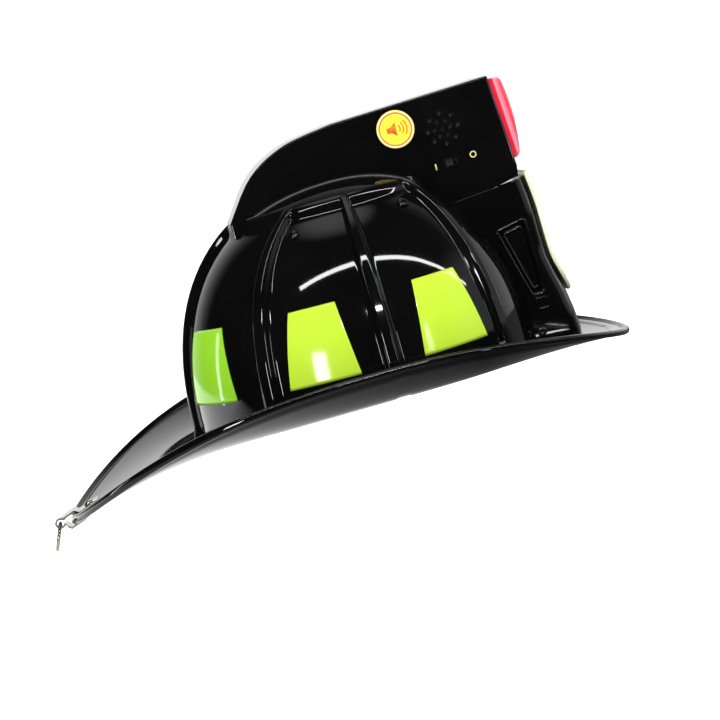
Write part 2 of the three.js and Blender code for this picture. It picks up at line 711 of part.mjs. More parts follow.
class Coil extends THREE.Curve {
  getPoint(t) {
    const angle = t * 3 * 2 * Math.PI;
    const radius = 3.6 - 1.6 * t;
    return new THREE.Vector3(t * 4.2, radius * Math.cos(angle), radius * Math.sin(angle));
  }
}

const wireRound = arc(0, 0, 0.45, 0.45, 0, 2 * Math.PI, 6).slice(1);
const wire = new THREE.Shape(wireRound.map(([x, y]) => new THREE.Vector2(x, y)));
const coil = new THREE.ExtrudeGeometry(wire, { steps: 30, extrudePath: new Coil(), bevelEnabled: false });
addPart('battery_spring', inCompartment(coil.translate(TRAY.x0 + 0.8, TRAY.axis, cellsZ)), steel());

// ---------- front bracket and shield ----------

// how far forward the bracket's face stands at each height, on its middle line
const bracketLine = new THREE.SplineCurve([
  [0, 122], [12, 121], [25, 119.2], [40, 115.6], [52, 113.2], [80, 112.2], [100, 110.2],
].map(([z, x]) => new THREE.Vector2(z, x)));
const bracketProfile = bracketLine.getPoints(40);

function bracketFront(y, z) {
  let i = bracketProfile.findIndex((p) => p.x > z);
  if (i < 1) i = z < 1 ? 1 : bracketProfile.length - 1;
  const [low, high] = [bracketProfile[i - 1], bracketProfile[i]];
  const share = THREE.MathUtils.clamp((z - low.x) / (high.x - low.x), 0, 1);
  const middle = THREE.MathUtils.lerp(low.y, high.y, share);
  return middle - BRACKET.bulge * (y / BRACKET.half) ** 2;
}

function bracketBlock(inset) {
  const block = new THREE.BoxGeometry(1, 2, 1, 1, 8, 9).translate(0.5, 0, 0.5);
  const p = block.attributes.position;
  for (let i = 0; i < p.count; i += 1) {
    const y = p.getY(i) * (BRACKET.half - inset);
    const lowZ = -8;
    const high = BRACKET.top - inset + 4.5 * p.getX(i);
    const z = THREE.MathUtils.lerp(lowZ, high, p.getZ(i));
    const x = p.getX(i) > 0.5 ? bracketFront(y, Math.max(z, 0)) - inset : 55;
    p.setXYZ(i, x, y, z);
  }
  return block;
}

function pocket(side, grow) {
  const inner = BRACKET.half - 2.4 - grow;
  const outline = [[83.3 - grow, 72.8 + grow], [94.5 - grow, 31 - grow], [102 + grow, 31 - grow],
    [101 + grow, 76.3 + grow]];
  return side > 0 ? sideExtrude(outline, inner, 60) : sideExtrude(outline, -60, -inner);
}

function brimBlank(lift) {
  const ring = (share, outward, z) => COLUMNS.map((column) => {
    const p = brimPoint(column, share, outward, lift);
    return z === undefined ? p : p.setZ(z);
  });
  return skin([
    ring(0, -20, -60), ring(0, -20), ring(0, 4), ring(0.3, 0), ring(0.6, 0), ring(1, 0), ring(1, 0, -60),
  ]);
}

function bracketScrewHole(side, radius) {
  const { x, z } = BRACKET_SCREW;
  return rod(new THREE.Vector3(x, side * 20, z), new THREE.Vector3(x, side * 50, z), radius, 10);
}

function shieldHoles() {
  return SHIELD_SCREWS.map((z) => rod(new THREE.Vector3(100, 0, z), new THREE.Vector3(130, 0, z), HOLE, 10));
}

function makeBracket() {
  let inner = solid(bracketBlock(WALL)).subtract(solid(pocket(1, WALL))).subtract(solid(pocket(-1, WALL)));
  inner = inner.subtract(solid(box(50, 130, -50, 50, 17, 19)));
  const tools = [blank, pocket(1, 0), pocket(-1, 0), brimBlank(GAP), crestBlock(-GAP),
    bracketScrewHole(1, HOLE), bracketScrewHole(-1, HOLE), ...shieldHoles()];
  let body = solid(bracketBlock(0)).subtract(inner);
  for (const tool of tools) body = body.subtract(solid(tool));
  for (const side of [-1, 1]) {
    const tab = side > 0 ? box(96, 102, BRACKET.half - 0.5, BRACKET.half + 1, 22.5, 29.5)
      : box(96, 102, -BRACKET.half - 1, -BRACKET.half + 0.5, 22.5, 29.5);
    body = body.add(solid(tab));
  }
  const largest = body.decompose().sort((a, b) => b.volume() - a.volume())[0];
  return geometryOf(largest);
}

addPart('front_bracket', makeBracket(), blackGloss());

for (const side of [-1, 1]) {
  const { x, z } = BRACKET_SCREW;
  const at = (y) => new THREE.Vector3(x, side * (BRACKET.half + y), z);
  addPart(`bracket_screw_${side < 0 ? 'right' : 'left'}`, screw(at(2), at(-5), 3, 1.7, 1.4), blackGloss());
}

// the shield's half width at a share of its height
function shieldHalf(share) {
  const foot = Math.sqrt(Math.max(1 - (1 - Math.min(share / 0.45, 1)) ** 2, 0));
  const waist = 1 - 0.1 * Math.sin(Math.PI * smooth(0.5, 1, share));
  return SHIELD.half * (0.12 + 0.88 * foot) * waist;
}

function makeShield() {
  const rings = [];
  const across = 10;
  const levels = [0, 0.06, 0.14, 0.26, 0.42, 0.6, 0.75, 0.88, 1];
  for (const share of levels) {
    const z = THREE.MathUtils.lerp(SHIELD.low, SHIELD.high, share);
    const face = (lift) => Array.from({ length: across + 1 }, (_, i) => {
      const y = shieldHalf(share) * (1 - (2 * i) / across);
      return new THREE.Vector3(bracketFront(y * 0.8, z) + lift, y, z);
    });
    rings.push([...face(1), ...face(1 + SHIELD.thick).reverse()]);
  }
  return cut(skin(rings), ...shieldHoles());
}

addPart('front_shield', makeShield(), paint(0xf2f0e4, 0.3));

SHIELD_SCREWS.forEach((z, i) => {
  const face = bracketFront(0, z) + 1 + SHIELD.thick;
  const at = (x) => new THREE.Vector3(x, 0, z);
  addPart(`shield_screw_${i + 1}`, screw(at(face + 2.4), at(face - 9), 2.8, 1.5, 1.35), steel());
});

// ---------- rivets and reflective panels on the dome ----------

const corners = ['front_left', 'front_right', 'rear_left', 'rear_right'];
strapRivets.forEach(({ outside, inward }, i) => {
  const rivet = screw(along(outside, inward, -2.2), along(outside, inward, 7.4), RIVET.radius, 1.7, 1.4);
  addPart(`dome_rivet_${corners[i]}`, rivet, blackGloss());
});

const PANEL_SPAN = 79;           // length of a panel along the dome's foot
const DECAL = { tilts: [83.8, 79.4, 74.8, 70, 65], bottom: 23, top: 16.3, low: 0.9, high: 1.4 };
const DECAL_PLACES = [
  { place: 'front', panel: 1, forward: 3.5 },
  { place: 'middle', panel: 2, forward: -4.3 },
  { place: 'rear', panel: 3, forward: -7 },
];

// middle: the decal's middle line, counted in panels round from the front
function makeReflective(middle) {
  const rings = DECAL.tilts.map((tilt, i) => {
    const half = THREE.MathUtils.lerp(DECAL.bottom, DECAL.top, i / (DECAL.tilts.length - 1)) / PANEL_SPAN;
    const face = (offset) => [1, 0.5, 0, -0.5, -1].map((share) => {
      return domePoint(middle + half * share, tilt * DEG, offset);
    });
    return [...face(DECAL.low), ...face(DECAL.high).reverse()];
  });
  return skin(rings);
}

for (const { place, panel, forward } of DECAL_PLACES) {
  const middle = panel + 0.5 - forward / PANEL_SPAN;
  addPart(`reflective_left_${place}`, makeReflective(middle), paint(0xc8f23c, 0.3));
  addPart(`reflective_right_${place}`, makeReflective(RIBS - middle), paint(0xc8f23c, 0.3));
}

// ---------- suspension ----------

// each strap end is held to the band by a stud; behind, the strap stands off the straight side
const studs = [];
for (const side of [-1, 1]) {
  studs.push({ place: 'front', side, x: 36, y: 67.6, nx: 0.366, ny: 0.93, out: 3.6 });
  studs.push({ place: 'rear', side, x: -42.3, y: BAND.side, nx: 0, ny: 1, out: 7.5 });
}

function studPoint({ side, x, y, nx, ny }, distance) {
  return new THREE.Vector3(x + nx * distance, side * (y + ny * distance), 20);
}

const studHoles = studs.map((stud) => rod(studPoint(stud, -3), studPoint(stud, 12), 1.6, 8));

function bandPath() {
  return arc(0, 0, BAND.front, BAND.side, -90 * DEG, 90 * DEG, 24);
}

function makeHeadband() {
  const path = [[-BAND.straight, -BAND.side], [-25, -BAND.side], ...bandPath(), [-25, BAND.side],
    [-BAND.straight, BAND.side]];
  let body = solid(planExtrude(strip(path, BAND.thick), BAND.low, BAND.high));
  for (const side of [-1, 1]) {
    const outer = side * (BAND.side + BAND.thick / 2 - 0.2);
    const inner = side * (BAND.side - BAND.thick / 2 - 4);
    const keeper = box(-36, -30, Math.min(outer, inner), Math.max(outer, inner), BAND.low, BAND.high);
    const slotOut = side * (BAND.side - BAND.thick / 2 - 0.05);
    const slotIn = side * (BAND.side - BAND.thick / 2 - 2.5);
    const [slotLow, slotHigh] = [Math.min(slotOut, slotIn), Math.max(slotOut, slotIn)];
    const slot = box(-60, -26, slotLow, slotHigh, BAND.low + 2, BAND.high - 2);
    body = body.add(solid(keeper)).subtract(solid(slot));
  }
  for (const hole of studHoles) body = body.subtract(solid(hole));
  return geometryOf(body);
}

addPart('headband', makeHeadband(), greyPlastic());

function makeNapeBand() {
  const side = BAND.side - BAND.thick / 2 - 1.25;
  const turn = arc(-BAND.straight, 0, NAPE.rear, side, 90 * DEG, 270 * DEG, 20);
  const path = [[-NAPE.arm, side], ...turn, [-NAPE.arm, -side]];
  return planExtrude(strip(path, BAND.thick), BAND.low + 2.5, BAND.high - 2.5);
}

addPart('nape_band', makeNapeBand(), greyPlastic());

function makeBrowPad() {
  const inner = 0.8 + 0.4 + 2.5;
  const path = arc(0, 0, BAND.front - inner, BAND.side - inner, -72 * DEG, 72 * DEG, 20);
  return planExtrude(strip(path, 5), BAND.low - 1, BAND.high + 1);
}

addPart('brow_pad', makeBrowPad(), paint(0x17181a, 0.95));

// the strap's line in its own upright plane: distance from the middle, and height
function strapLine(crown, reach) {
  const line = new THREE.SplineCurve([
    [0, crown], [30, crown + 2.5], [56, 97.5], [68, 88.5], [76.5, 68],
    [THREE.MathUtils.lerp(78, reach, 0.6), 50], [reach, 32], [reach, 14],
  ].map(([r, z]) => new THREE.Vector2(r, z)));
  return line.getPoints(14).map((p) => [p.x, p.y]);
}

function makeStrap(turn, crown, frontReach, rearReach) {
  const front = strapLine(crown, frontReach);
  const rear = strapLine(crown, rearReach).slice(1).reverse().map(([r, z]) => [-r, z]);
  const body = sideExtrude(strip([...rear, ...front], STRAP.thick), -STRAP.width / 2, STRAP.width / 2);
  body.rotateZ(turn);
  return cut(body, ...rivetHoles(14), ...studHoles);
}

const strapReach = { front: 79.2, rear: 89.8 };
addPart('crown_strap_1', makeStrap(STRAP.angle, 98.5, strapReach.front, strapReach.rear), webbing());
addPart('crown_strap_2', makeStrap(-STRAP.angle, 94.5, strapReach.front, strapReach.rear), webbing());

for (const stud of studs) {
  const head = studPoint(stud, stud.out + 0.8);
  const name = `strap_stud_${stud.place}_${stud.side < 0 ? 'right' : 'left'}`;
  addPart(name, screw(head, studPoint(stud, -0.5), 2, 0.8, 1.2), steel());
}

// ---------- tail hanger ----------

function makeClip() {
  const thick = 1.2;
  const top = 0.6;
  const bottom = -WALL - GAP;
  const overBead = BEAD.tailRise + 0.7;
  const underBead = -3.3;
  const [eyeAlong, eyeLift] = TAIL.eye;
  const eye = (radius, from, to) => arc(eyeAlong, eyeLift, radius, radius, from * DEG, to * DEG, 10);
  const outline = [
    [-6, top], [8, top], [10, overBead], [15.4, overBead], [17.4, 2.6],
    ...eye(TAIL.eyeRadius, 150, -150),
    [17.4, -0.6], [16, underBead], [8, underBead], [3, bottom], [-4, bottom],
    [-4, bottom - thick], [3, bottom - thick], [8, underBead - thick], [16.4, underBead - thick],
    ...eye(TAIL.eyeRadius + thick, -125, 125),
    [16, overBead + thick], [9.4, overBead + thick], [7.4, top + thick], [-6, top + thick],
  ];
  const placed = outline.map(([distance, lift]) => tailFrame(distance, lift));
  const body = sideExtrude(placed, -TAIL.width / 2, TAIL.width / 2);
  const trim = (side) => {
    const corner = [[18, -12], [40, -12], [40, 12], [18, 12]].map(([d, l]) => tailFrame(d, l));
    return side > 0 ? sideExtrude(corner, 3, 20) : sideExtrude(corner, -20, -3);
  };
  return cut(body, trim(1), trim(-1), rod(tailPoint(0, -8), tailPoint(0, 8), HOLE, 10));
}

addPart('tail_clip', makeClip(), steel());
addPart('tail_rivet', screw(tailPoint(0, 3.7), tailPoint(0, -4.6), 3, 1.5, 1.45), steel());

function makeRing() {
  const [x, z] = tailFrame(...TAIL.eye);
  const ring = new THREE.TorusGeometry(RING.radius, RING.wire, 8, 24);
  ring.rotateY(Math.PI / 2).translate(0, 0, -RING.radius).rotateY(RING.lean).translate(x, 0, z);
  return ring;
}

addPart('tail_ring', makeRing(), paint(0xc8cacc, 0.2, 1));

export default group;
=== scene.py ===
"""Looks for the youth firefighter helmet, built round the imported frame.

Metres, +X front, +Y left, +Z up. Sizes in the shape functions are in millimetres.
"""

import math

import bmesh
import bpy
from mathutils import Matrix, Vector


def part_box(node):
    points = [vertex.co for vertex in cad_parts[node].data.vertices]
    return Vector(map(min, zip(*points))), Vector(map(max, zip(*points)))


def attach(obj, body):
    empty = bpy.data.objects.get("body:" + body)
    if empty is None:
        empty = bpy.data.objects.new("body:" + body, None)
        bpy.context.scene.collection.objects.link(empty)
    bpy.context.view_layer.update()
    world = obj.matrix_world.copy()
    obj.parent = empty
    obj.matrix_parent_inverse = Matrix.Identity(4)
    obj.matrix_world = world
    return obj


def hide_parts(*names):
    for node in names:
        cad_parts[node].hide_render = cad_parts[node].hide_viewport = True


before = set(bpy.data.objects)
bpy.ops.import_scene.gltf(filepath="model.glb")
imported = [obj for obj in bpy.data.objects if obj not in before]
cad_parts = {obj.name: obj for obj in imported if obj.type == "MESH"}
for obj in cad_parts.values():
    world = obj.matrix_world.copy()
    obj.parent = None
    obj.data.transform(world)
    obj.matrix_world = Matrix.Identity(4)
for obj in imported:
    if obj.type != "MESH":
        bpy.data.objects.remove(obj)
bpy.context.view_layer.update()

MM = 0.001

# ---------- sizes shared with the CAD source, in millimetres ----------

WALL = 2.2
DOME_FRONT, DOME_REAR, DOME_SIDE, DOME_HEIGHT, DOME_POWER = 101, 118, 98, 133, 2.36
RIBS = 8
PANEL_SINK, PANEL_TOP = 4.5, 116
RIB_FLAT, RIB_FOOT = 0.032, 0.083
FRONT_BEND, REAR_BEND, REAR_TURN = math.radians(8), math.radians(46), math.radians(1.5)
BRIM_FRONT, BRIM_REAR, BRIM_SIDE = 148, 203, 132
EDGE_HEIGHT, FRONT_DROP, REAR_DROP = 22, 25.6, 49
ROOT_SIDE, ROOT_REAR, ROOT_FRONT = 3, -3, 0
CREST_BACK, CREST_FRONT, CREST_TOP, CREST_HALF = -66, 101.2, 162.4, 24
CREST_FLARE, CREST_LIP, CREST_LEAN = 0.0578, 108, 4
PANEL_SPAN = 79
BRACKET_HALF, BRACKET_TOP = 33.4, 95.2


def lerp(a, b, t):
    return a + (b - a) * t


def smooth(low, high, value):
    t = min(max((value - low) / (high - low), 0), 1)
    return t * t * (3 - 2 * t)


def dome_radius(angle, offset=0.0):
    """The dome's reach at its foot, a half ellipse in front and another behind."""
    half = (DOME_FRONT if math.cos(angle) >= 0 else DOME_REAR) + offset
    return 1 / math.hypot(math.cos(angle) / half, math.sin(angle) / (DOME_SIDE + offset))


def rib_angle(rib, rho):
    """A rib's direction from the crown; all but the four square ones bend as they rise."""
    place = rib % RIBS
    base = rib * 2 * math.pi / RIBS
    if place % 2 == 0:
        return base
    ahead = place in (1, 7)
    towards_side = 1 if place in (1, 5) else -1
    bend = FRONT_BEND if ahead else REAR_BEND
    turn = 0 if ahead else REAR_TURN
    return base + towards_side * (turn + bend * (1 - rho) ** 2)


def column_angle(column, rho):
    rib = math.floor(column)
    return lerp(rib_angle(rib, rho), rib_angle(rib + 1, rho), column - rib)


def panel_depth(column, z):
    """How far the dome sinks between its ribs."""
    share = column - math.floor(column)
    from_rib = min(share, 1 - share)
    share_left = 1 - smooth(PANEL_TOP - 3, PANEL_TOP + 2, z)
    return PANEL_SINK * smooth(RIB_FLAT, RIB_FOOT, from_rib) * share_left


def dome_point(column, tilt, offset=0.0):
    """A point of the dome: column counts ribs from the front, tilt runs down from the crown."""
    rho = math.sin(tilt) ** (2 / DOME_POWER)
    rise = max(math.cos(tilt), 0) ** (2 / DOME_POWER)
    angle = column_angle(column, rho)
    radius = dome_radius(angle, offset)
    across = rho ** (DOME_POWER - 1) / radius
    up = rise ** (DOME_POWER - 1) / DOME_HEIGHT
    sink = panel_depth(column, DOME_HEIGHT * rise) / math.hypot(across, up)
    r = rho * radius - sink * across
    z = (DOME_HEIGHT + offset) * rise - sink * up
    return Vector((r * math.cos(angle), r * math.sin(angle), z))


def root_height(angle):
    end = ROOT_FRONT if math.cos(angle) > 0 else ROOT_REAR
    return lerp(end, ROOT_SIDE, math.sin(angle) ** 2)


def edge_radius(angle):
    """The brim's reach in a direction, found by halving."""
    half, p, q = (BRIM_FRONT, 2.3, 2.3) if math.cos(angle) > 0 else (BRIM_REAR, 3.2, 1.61)
    low, high = 90, BRIM_REAR + 1
    for _ in range(30):
        r = (low + high) / 2
        forward = abs(r * math.cos(angle) / half) ** p
        if forward + abs(r * math.sin(angle) / BRIM_SIDE) ** q < 1:
            low = r
        else:
            high = r
    return low


def edge_height(x):
    if x > 0:
        return EDGE_HEIGHT - FRONT_DROP * (x / BRIM_FRONT) ** 1.852
    return EDGE_HEIGHT - REAR_DROP * (-x / BRIM_REAR) ** 2.77


def brim_height(angle, share):
    sweep = lerp(1.3, 1.6, math.sin(angle) ** 2)
    edge = edge_height(edge_radius(angle) * math.cos(angle))
    return lerp(root_height(angle), edge, max(share, 0) ** sweep)


def bead_rise(x):
    """How high the bead stands on the brim's edge, more towards the tail."""
    return lerp(1.1, 2.4, smooth(50, 120, -x))


def crest_half(x):
    return CREST_HALF + CREST_FLARE * (x - CREST_BACK)


def crest_front(z):
    return CREST_FRONT + (CREST_TOP - z) * CREST_LEAN / (CREST_TOP - CREST_LIP)


# ---------- mesh helpers ----------


def placed(name, data):
    """A new object in the scene."""
    made = bpy.data.objects.new(name, data)
    bpy.context.scene.collection.objects.link(made)
    return made


def add_object(name, mesh, material, body, slot, *nodes):
    """A smooth-shaded piece that rides on a body and stands for the nodes it replaces."""
    piece = placed(name, mesh)
    if material is not None:
        mesh.materials.append(material)
    mesh.polygons.foreach_set("use_smooth", [True] * len(mesh.polygons))
    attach(piece, body)
    if nodes:
        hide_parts(*nodes)
    return piece


def mesh_of(name, points, faces):
    """A mesh from points in millimetres, facing out."""
    mesh = bpy.data.meshes.new(name)
    mesh.from_pydata([Vector(p) * MM for p in points], [], faces)
    bm = bmesh.new()
    bm.from_mesh(mesh)
    bmesh.ops.remove_doubles(bm, verts=bm.verts, dist=1e-6)
    bmesh.ops.recalc_face_normals(bm, faces=bm.faces)
    bm.to_mesh(mesh)
    bm.free()
    return mesh


def loft(rings, closed_ends=True):
    """Points and faces of a skin over closed rings of points."""
    count = len(rings[0])
    points = [p for ring in rings for p in ring]
    faces = []
    for r in range(len(rings) - 1):
        for c in range(count):
            a, b = r * count + c, r * count + (c + 1) % count
            faces.append((a, b, b + count, a + count))
    if closed_ends:
        faces.append(tuple(reversed(range(count))))
        last = (len(rings) - 1) * count
        faces.append(tuple(range(last, last + count)))
    return points, faces


def bevelled(piece, width, segments, angle):
    """Rounds a piece's edges that are sharper than the angle."""
    bevel = piece.modifiers.new("rounded", "BEVEL")
    bevel.width = width * MM
    bevel.segments = segments
    bevel.limit_method = "ANGLE"
    bevel.angle_limit = math.radians(angle)
    bevel.use_clamp_overlap = True


def even_shading(piece, keep_sharp=True):
    """Weights a piece's normals by the size of its faces."""
    normals = piece.modifiers.new("normals", "WEIGHTED_NORMAL")
    normals.keep_sharp = keep_sharp


def refined(node, name, material, body, slot, width, segments=3, angle=32):
    """A CAD node's shape with clean flat faces and rounded edges."""
    bm = bmesh.new()
    bm.from_mesh(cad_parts[node].data)
    bmesh.ops.remove_doubles(bm, verts=bm.verts, dist=2e-6)
    flat = math.radians(0.6)
    bmesh.ops.dissolve_limit(bm, angle_limit=flat, verts=bm.verts, edges=bm.edges)
    mesh = bpy.data.meshes.new(name)
    bm.to_mesh(mesh)
    bm.free()
    piece = add_object(name, mesh, material, body, slot, node)
    bevelled(piece, width, segments, angle)
    even_shading(piece)
    return piece


# ---------- materials ----------


def new_material(name, color, roughness, metallic=0.0, **sockets):
    """A material with its shader's own sockets set, a socket's spaces written as underscores."""
    material = bpy.data.materials.new(name)
    material.use_nodes = True
    shader = shader_of(material)
    shader.inputs["Base Color"].default_value = (*color, 1)
    shader.inputs["Roughness"].default_value = roughness
    shader.inputs["Metallic"].default_value = metallic
    for socket, value in sockets.items():
        shader.inputs[socket.replace("_", " ")].default_value = value
    return material


def node(owner, kind, **values):
    """A new node in a material or the world, with inputs or settings by name."""
    made = owner.node_tree.nodes.new(kind)
    for key, value in values.items():
        if key in made.inputs:
            made.inputs[key].default_value = value
        else:
            setattr(made, key, value)
    return made


def map_range(owner, low, high, least=0.0, most=1.0, **values):
    """A node that turns low..high into least..most."""
    made = node(owner, "ShaderNodeMapRange", **values)
    sockets = ("From Min", "From Max", "To Min", "To Max")
    for socket, value in zip(sockets, (low, high, least, most)):
        made.inputs[socket].default_value = value
    return made


def link(owner, a, out, b, into):
    owner.node_tree.links.new(a.outputs[out], b.inputs[into])


def shader_of(material):
    return material.node_tree.nodes["Principled BSDF"]


def grain(material, scale, roughness, spread, bump, stretch=(1, 1, 1), detail=4):
    """Fine variation of roughness and a shallow bump, in object space."""
    place = node(material, "ShaderNodeTexCoord")
    mapping = node(material, "ShaderNodeMapping")
    mapping.inputs["Scale"].default_value = stretch
    noise = node(material, "ShaderNodeTexNoise", Scale=scale, Detail=detail, Roughness=0.6)
    ramp = map_range(material, 0.0, 1.0, roughness - spread, roughness + spread)
    link(material, place, "Object", mapping, "Vector")
    link(material, mapping, "Vector", noise, "Vector")
    link(material, noise, "Fac", ramp, "Value")
    link(material, ramp, "Result", shader_of(material), "Roughness")
    height = node(material, "ShaderNodeBump", Strength=bump, Distance=0.0002)
    link(material, noise, "Fac", height, "Height")
    link(material, height, "Normal", shader_of(material), "Normal")


def tint(material, first, second, scale, detail=3, share=0.5):
    """Slow colour variation between two colours."""
    place = node(material, "ShaderNodeTexCoord")
    noise = node(material, "ShaderNodeTexNoise", Scale=scale, Detail=detail)
    ramp = node(material, "ShaderNodeValToRGB")
    ramp.color_ramp.elements[0].color = (*first, 1)
    ramp.color_ramp.elements[1].color = (*second, 1)
    ramp.color_ramp.elements[0].position = share - 0.2
    ramp.color_ramp.elements[1].position = share + 0.2
    link(material, place, "Object", noise, "Vector")
    link(material, noise, "Fac", ramp, "Fac")
    link(material, ramp, "Color", shader_of(material), "Base Color")


def surface(name, color, roughness, grained, tinted=(), metallic=0.0, **sockets):
    """A material with grain(*grained) and, where two tints are given, tint(*tinted)."""
    made = new_material(name, color, roughness, metallic, **sockets)
    grain(made, *grained)
    if tinted:
        tint(made, *tinted)
    return made


def black_plastic(name, roughness):
    tints = ((0.0018, 0.0018, 0.002), (0.003, 0.003, 0.0033), 30)
    return surface(name, (0.0022, 0.0022, 0.0025), roughness,
                   (260, roughness, roughness * 0.25, 0.02), tints, IOR=1.5)


gloss_black = black_plastic("moulded_black", 0.045)
crest_black = black_plastic("crest_black", 0.09)
trim_black = black_plastic("trim_black", 0.12)
bracket_black = black_plastic("bracket_black", 0.06)

# The lens's weak red emission is a painted glow; the LEDs behind it are not lit.
red_lens = surface("red_lens", (0.88, 0.02, 0.07), 0.1, (180, 0.12, 0.03, 0.05), IOR=1.49,
                   Emission_Color=(1.0, 0.06, 0.13, 1), Emission_Strength=0.1,
                   Sheen_Weight=0.5, Sheen_Tint=(1.0, 0.72, 0.78, 1),
                   Transmission_Weight=0.45, Subsurface_Weight=0.35,
                   Subsurface_Radius=(0.006, 0.0012, 0.0012),
                   Coat_Weight=0.6, Coat_Roughness=0.04)


def painted_highlight_streak(material, red, highlight_pink):
    """A painted highlight: a paler, pink streak along the lens's two sides, a few millimetres in
    front of the crest.
    """
    place = node(material, "ShaderNodeTexCoord")
    forward = node(material, "ShaderNodeVectorMath", operation="DOT_PRODUCT")
    forward.inputs[1].default_value = (1, 0, 0.0735)
    depth = map_range(material, 0.11314, 0.12364)
    ramp = node(material, "ShaderNodeValToRGB")
    for end in ramp.color_ramp.elements:
        end.color = (*red, 1)
    between = tuple((a + b) / 2 for a, b in zip(red, highlight_pink))
    for position, color in ((0.26, red), (0.36, highlight_pink), (0.5, between), (0.62, red)):
        ramp.color_ramp.elements.new(position).color = (*color, 1)
    parts = node(material, "ShaderNodeSeparateXYZ")
    aside = node(material, "ShaderNodeMath", operation="ABSOLUTE")
    edge = map_range(material, 0.0255, 0.0285)
    mixed = node(material, "ShaderNodeMix", data_type="RGBA")
    mixed.inputs[6].default_value = (*red, 1)
    link(material, place, "Object", forward, 0)
    link(material, forward, "Value", depth, "Value")
    link(material, depth, "Result", ramp, "Fac")
    link(material, place, "Object", parts, 0)
    link(material, parts, "Y", aside, 0)
    link(material, aside, 0, edge, "Value")
    link(material, edge, "Result", mixed, 0)
    link(material, ramp, "Color", mixed, 7)
    link(material, mixed, 2, shader_of(material), "Base Color")


# Paints a pale pink highlight streak on the lens's sides.
painted_highlight_streak(red_lens, (0.86, 0.02, 0.06), (1.0, 0.5, 0.62))


# The film's weak emission in its own colour is a painted glow.
def lime_film(name, color):
    tints = (tuple(c * 0.97 for c in color), tuple(c * 1.03 for c in color), 16)
    return surface(name, color, 0.09, (500, 0.09, 0.02, 0.02), tints, IOR=1.45,
                   Emission_Color=(*color, 1), Emission_Strength=0.15)


lime = lime_film("lime_film", (0.41, 0.62, 0.035))
# The rear decals are the same film; this darker, greener copy is painted shade.
lime_shaded_rear = lime_film("lime_film_shaded_rear", (0.22, 0.50, 0.02))

shield_white = surface("shield_white", (0.82, 0.82, 0.76), 0.22, (220, 0.22, 0.05, 0.03),
                       ((0.80, 0.80, 0.74), (0.86, 0.86, 0.82), 24), IOR=1.5)
shield_gold = surface("shield_gold", (0.60, 0.47, 0.12), 0.3, (220, 0.3, 0.06, 0.04),
                      ((0.56, 0.43, 0.10), (0.66, 0.52, 0.16), 40), IOR=1.5)
shield_rim = surface("shield_rim", (0.74, 0.72, 0.52), 0.25, (220, 0.25, 0.05, 0.03),
                     ((0.72, 0.70, 0.49), (0.78, 0.76, 0.58), 30), IOR=1.5)
yellow = surface("label_yellow", (0.80, 0.70, 0.035), 0.3, (500, 0.3, 0.05, 0.03),
                 ((0.78, 0.68, 0.03), (0.82, 0.73, 0.045), 60), IOR=1.45)
orange = surface("label_orange", (0.86, 0.16, 0.02), 0.32, (500, 0.32, 0.05, 0.03), IOR=1.45)
cream = surface("label_cream", (0.90, 0.85, 0.55), 0.32, (500, 0.32, 0.05, 0.03), IOR=1.45)
print_yellow = surface("print_yellow", (0.62, 0.55, 0.22), 0.45, (900, 0.45, 0.08, 0.1))

steel = surface("plated_steel", (0.62, 0.62, 0.60), 0.24, (320, 0.24, 0.09, 0.05, (1, 6, 1)),
                metallic=1.0)
bright = surface("plated_bright", (0.50, 0.50, 0.49), 0.26, (260, 0.16, 0.07, 0.04), metallic=1.0)
ring_metal = surface("ring_metal", (0.38, 0.36, 0.30), 0.2, (300, 0.14, 0.06, 0.04), metallic=1.0)

band_plastic = surface("band_plastic", (0.03, 0.031, 0.034), 0.42, (700, 0.42, 0.08, 0.25), IOR=1.5)
inner_plastic = surface("inner_plastic", (0.05, 0.052, 0.058), 0.5, (500, 0.5, 0.08, 0.2), IOR=1.5)
white_plastic = surface("reflector_white", (0.84, 0.84, 0.85), 0.25, (300, 0.25, 0.05, 0.05),
                        IOR=1.5)
led_epoxy = surface("led_epoxy", (0.85, 0.30, 0.34), 0.08, (300, 0.08, 0.02, 0.02), IOR=1.52,
                    Transmission_Weight=0.5)
board_green = surface("board_green", (0.02, 0.17, 0.07), 0.35, (400, 0.35, 0.08, 0.1))
paper_cone = surface("paper_cone", (0.10, 0.10, 0.105), 0.8, (900, 0.8, 0.1, 0.5))


def woven(name, color, pitch, depth):
    """Level rows of thread broken up by fine noise, in object space, with painted shade: the colour
    follows the weave's height, darker in the hollows between threads and lighter on the thread
    tops.
    """
    made = new_material(name, color, 0.85)
    shader_of(made).inputs["Sheen Weight"].default_value = 0.35
    place = node(made, "ShaderNodeTexCoord")
    first = node(made, "ShaderNodeTexWave", Scale=1 / pitch)
    second = node(made, "ShaderNodeTexNoise", Scale=7 / pitch, Detail=2)
    first.bands_direction = "Z"
    mixed = node(made, "ShaderNodeMath", operation="MULTIPLY")
    height = node(made, "ShaderNodeBump", Strength=0.7, Distance=depth)
    # Painted shade: the colour runs from dark in the weave's hollows to light on the thread tops.
    ramp = node(made, "ShaderNodeValToRGB")
    ramp.color_ramp.elements[0].color = (*[c * 0.55 for c in color], 1)
    ramp.color_ramp.elements[1].color = (*[c * 1.5 for c in color], 1)
    for threads in (first, second):
        link(made, place, "Object", threads, "Vector")
    link(made, first, "Fac", mixed, 0)
    link(made, second, "Fac", mixed, 1)
    link(made, mixed, "Value", height, "Height")
    link(made, mixed, "Value", ramp, "Fac")
    link(made, ramp, "Color", shader_of(made), "Base Color")
    link(made, height, "Normal", shader_of(made), "Normal")
    return made


webbing = woven("webbing", (0.022, 0.022, 0.024), 0.004, 0.0003)
pad_cloth = woven("pad_cloth", (0.028, 0.028, 0.031), 0.003, 0.0002)

# ---------- shell ----------

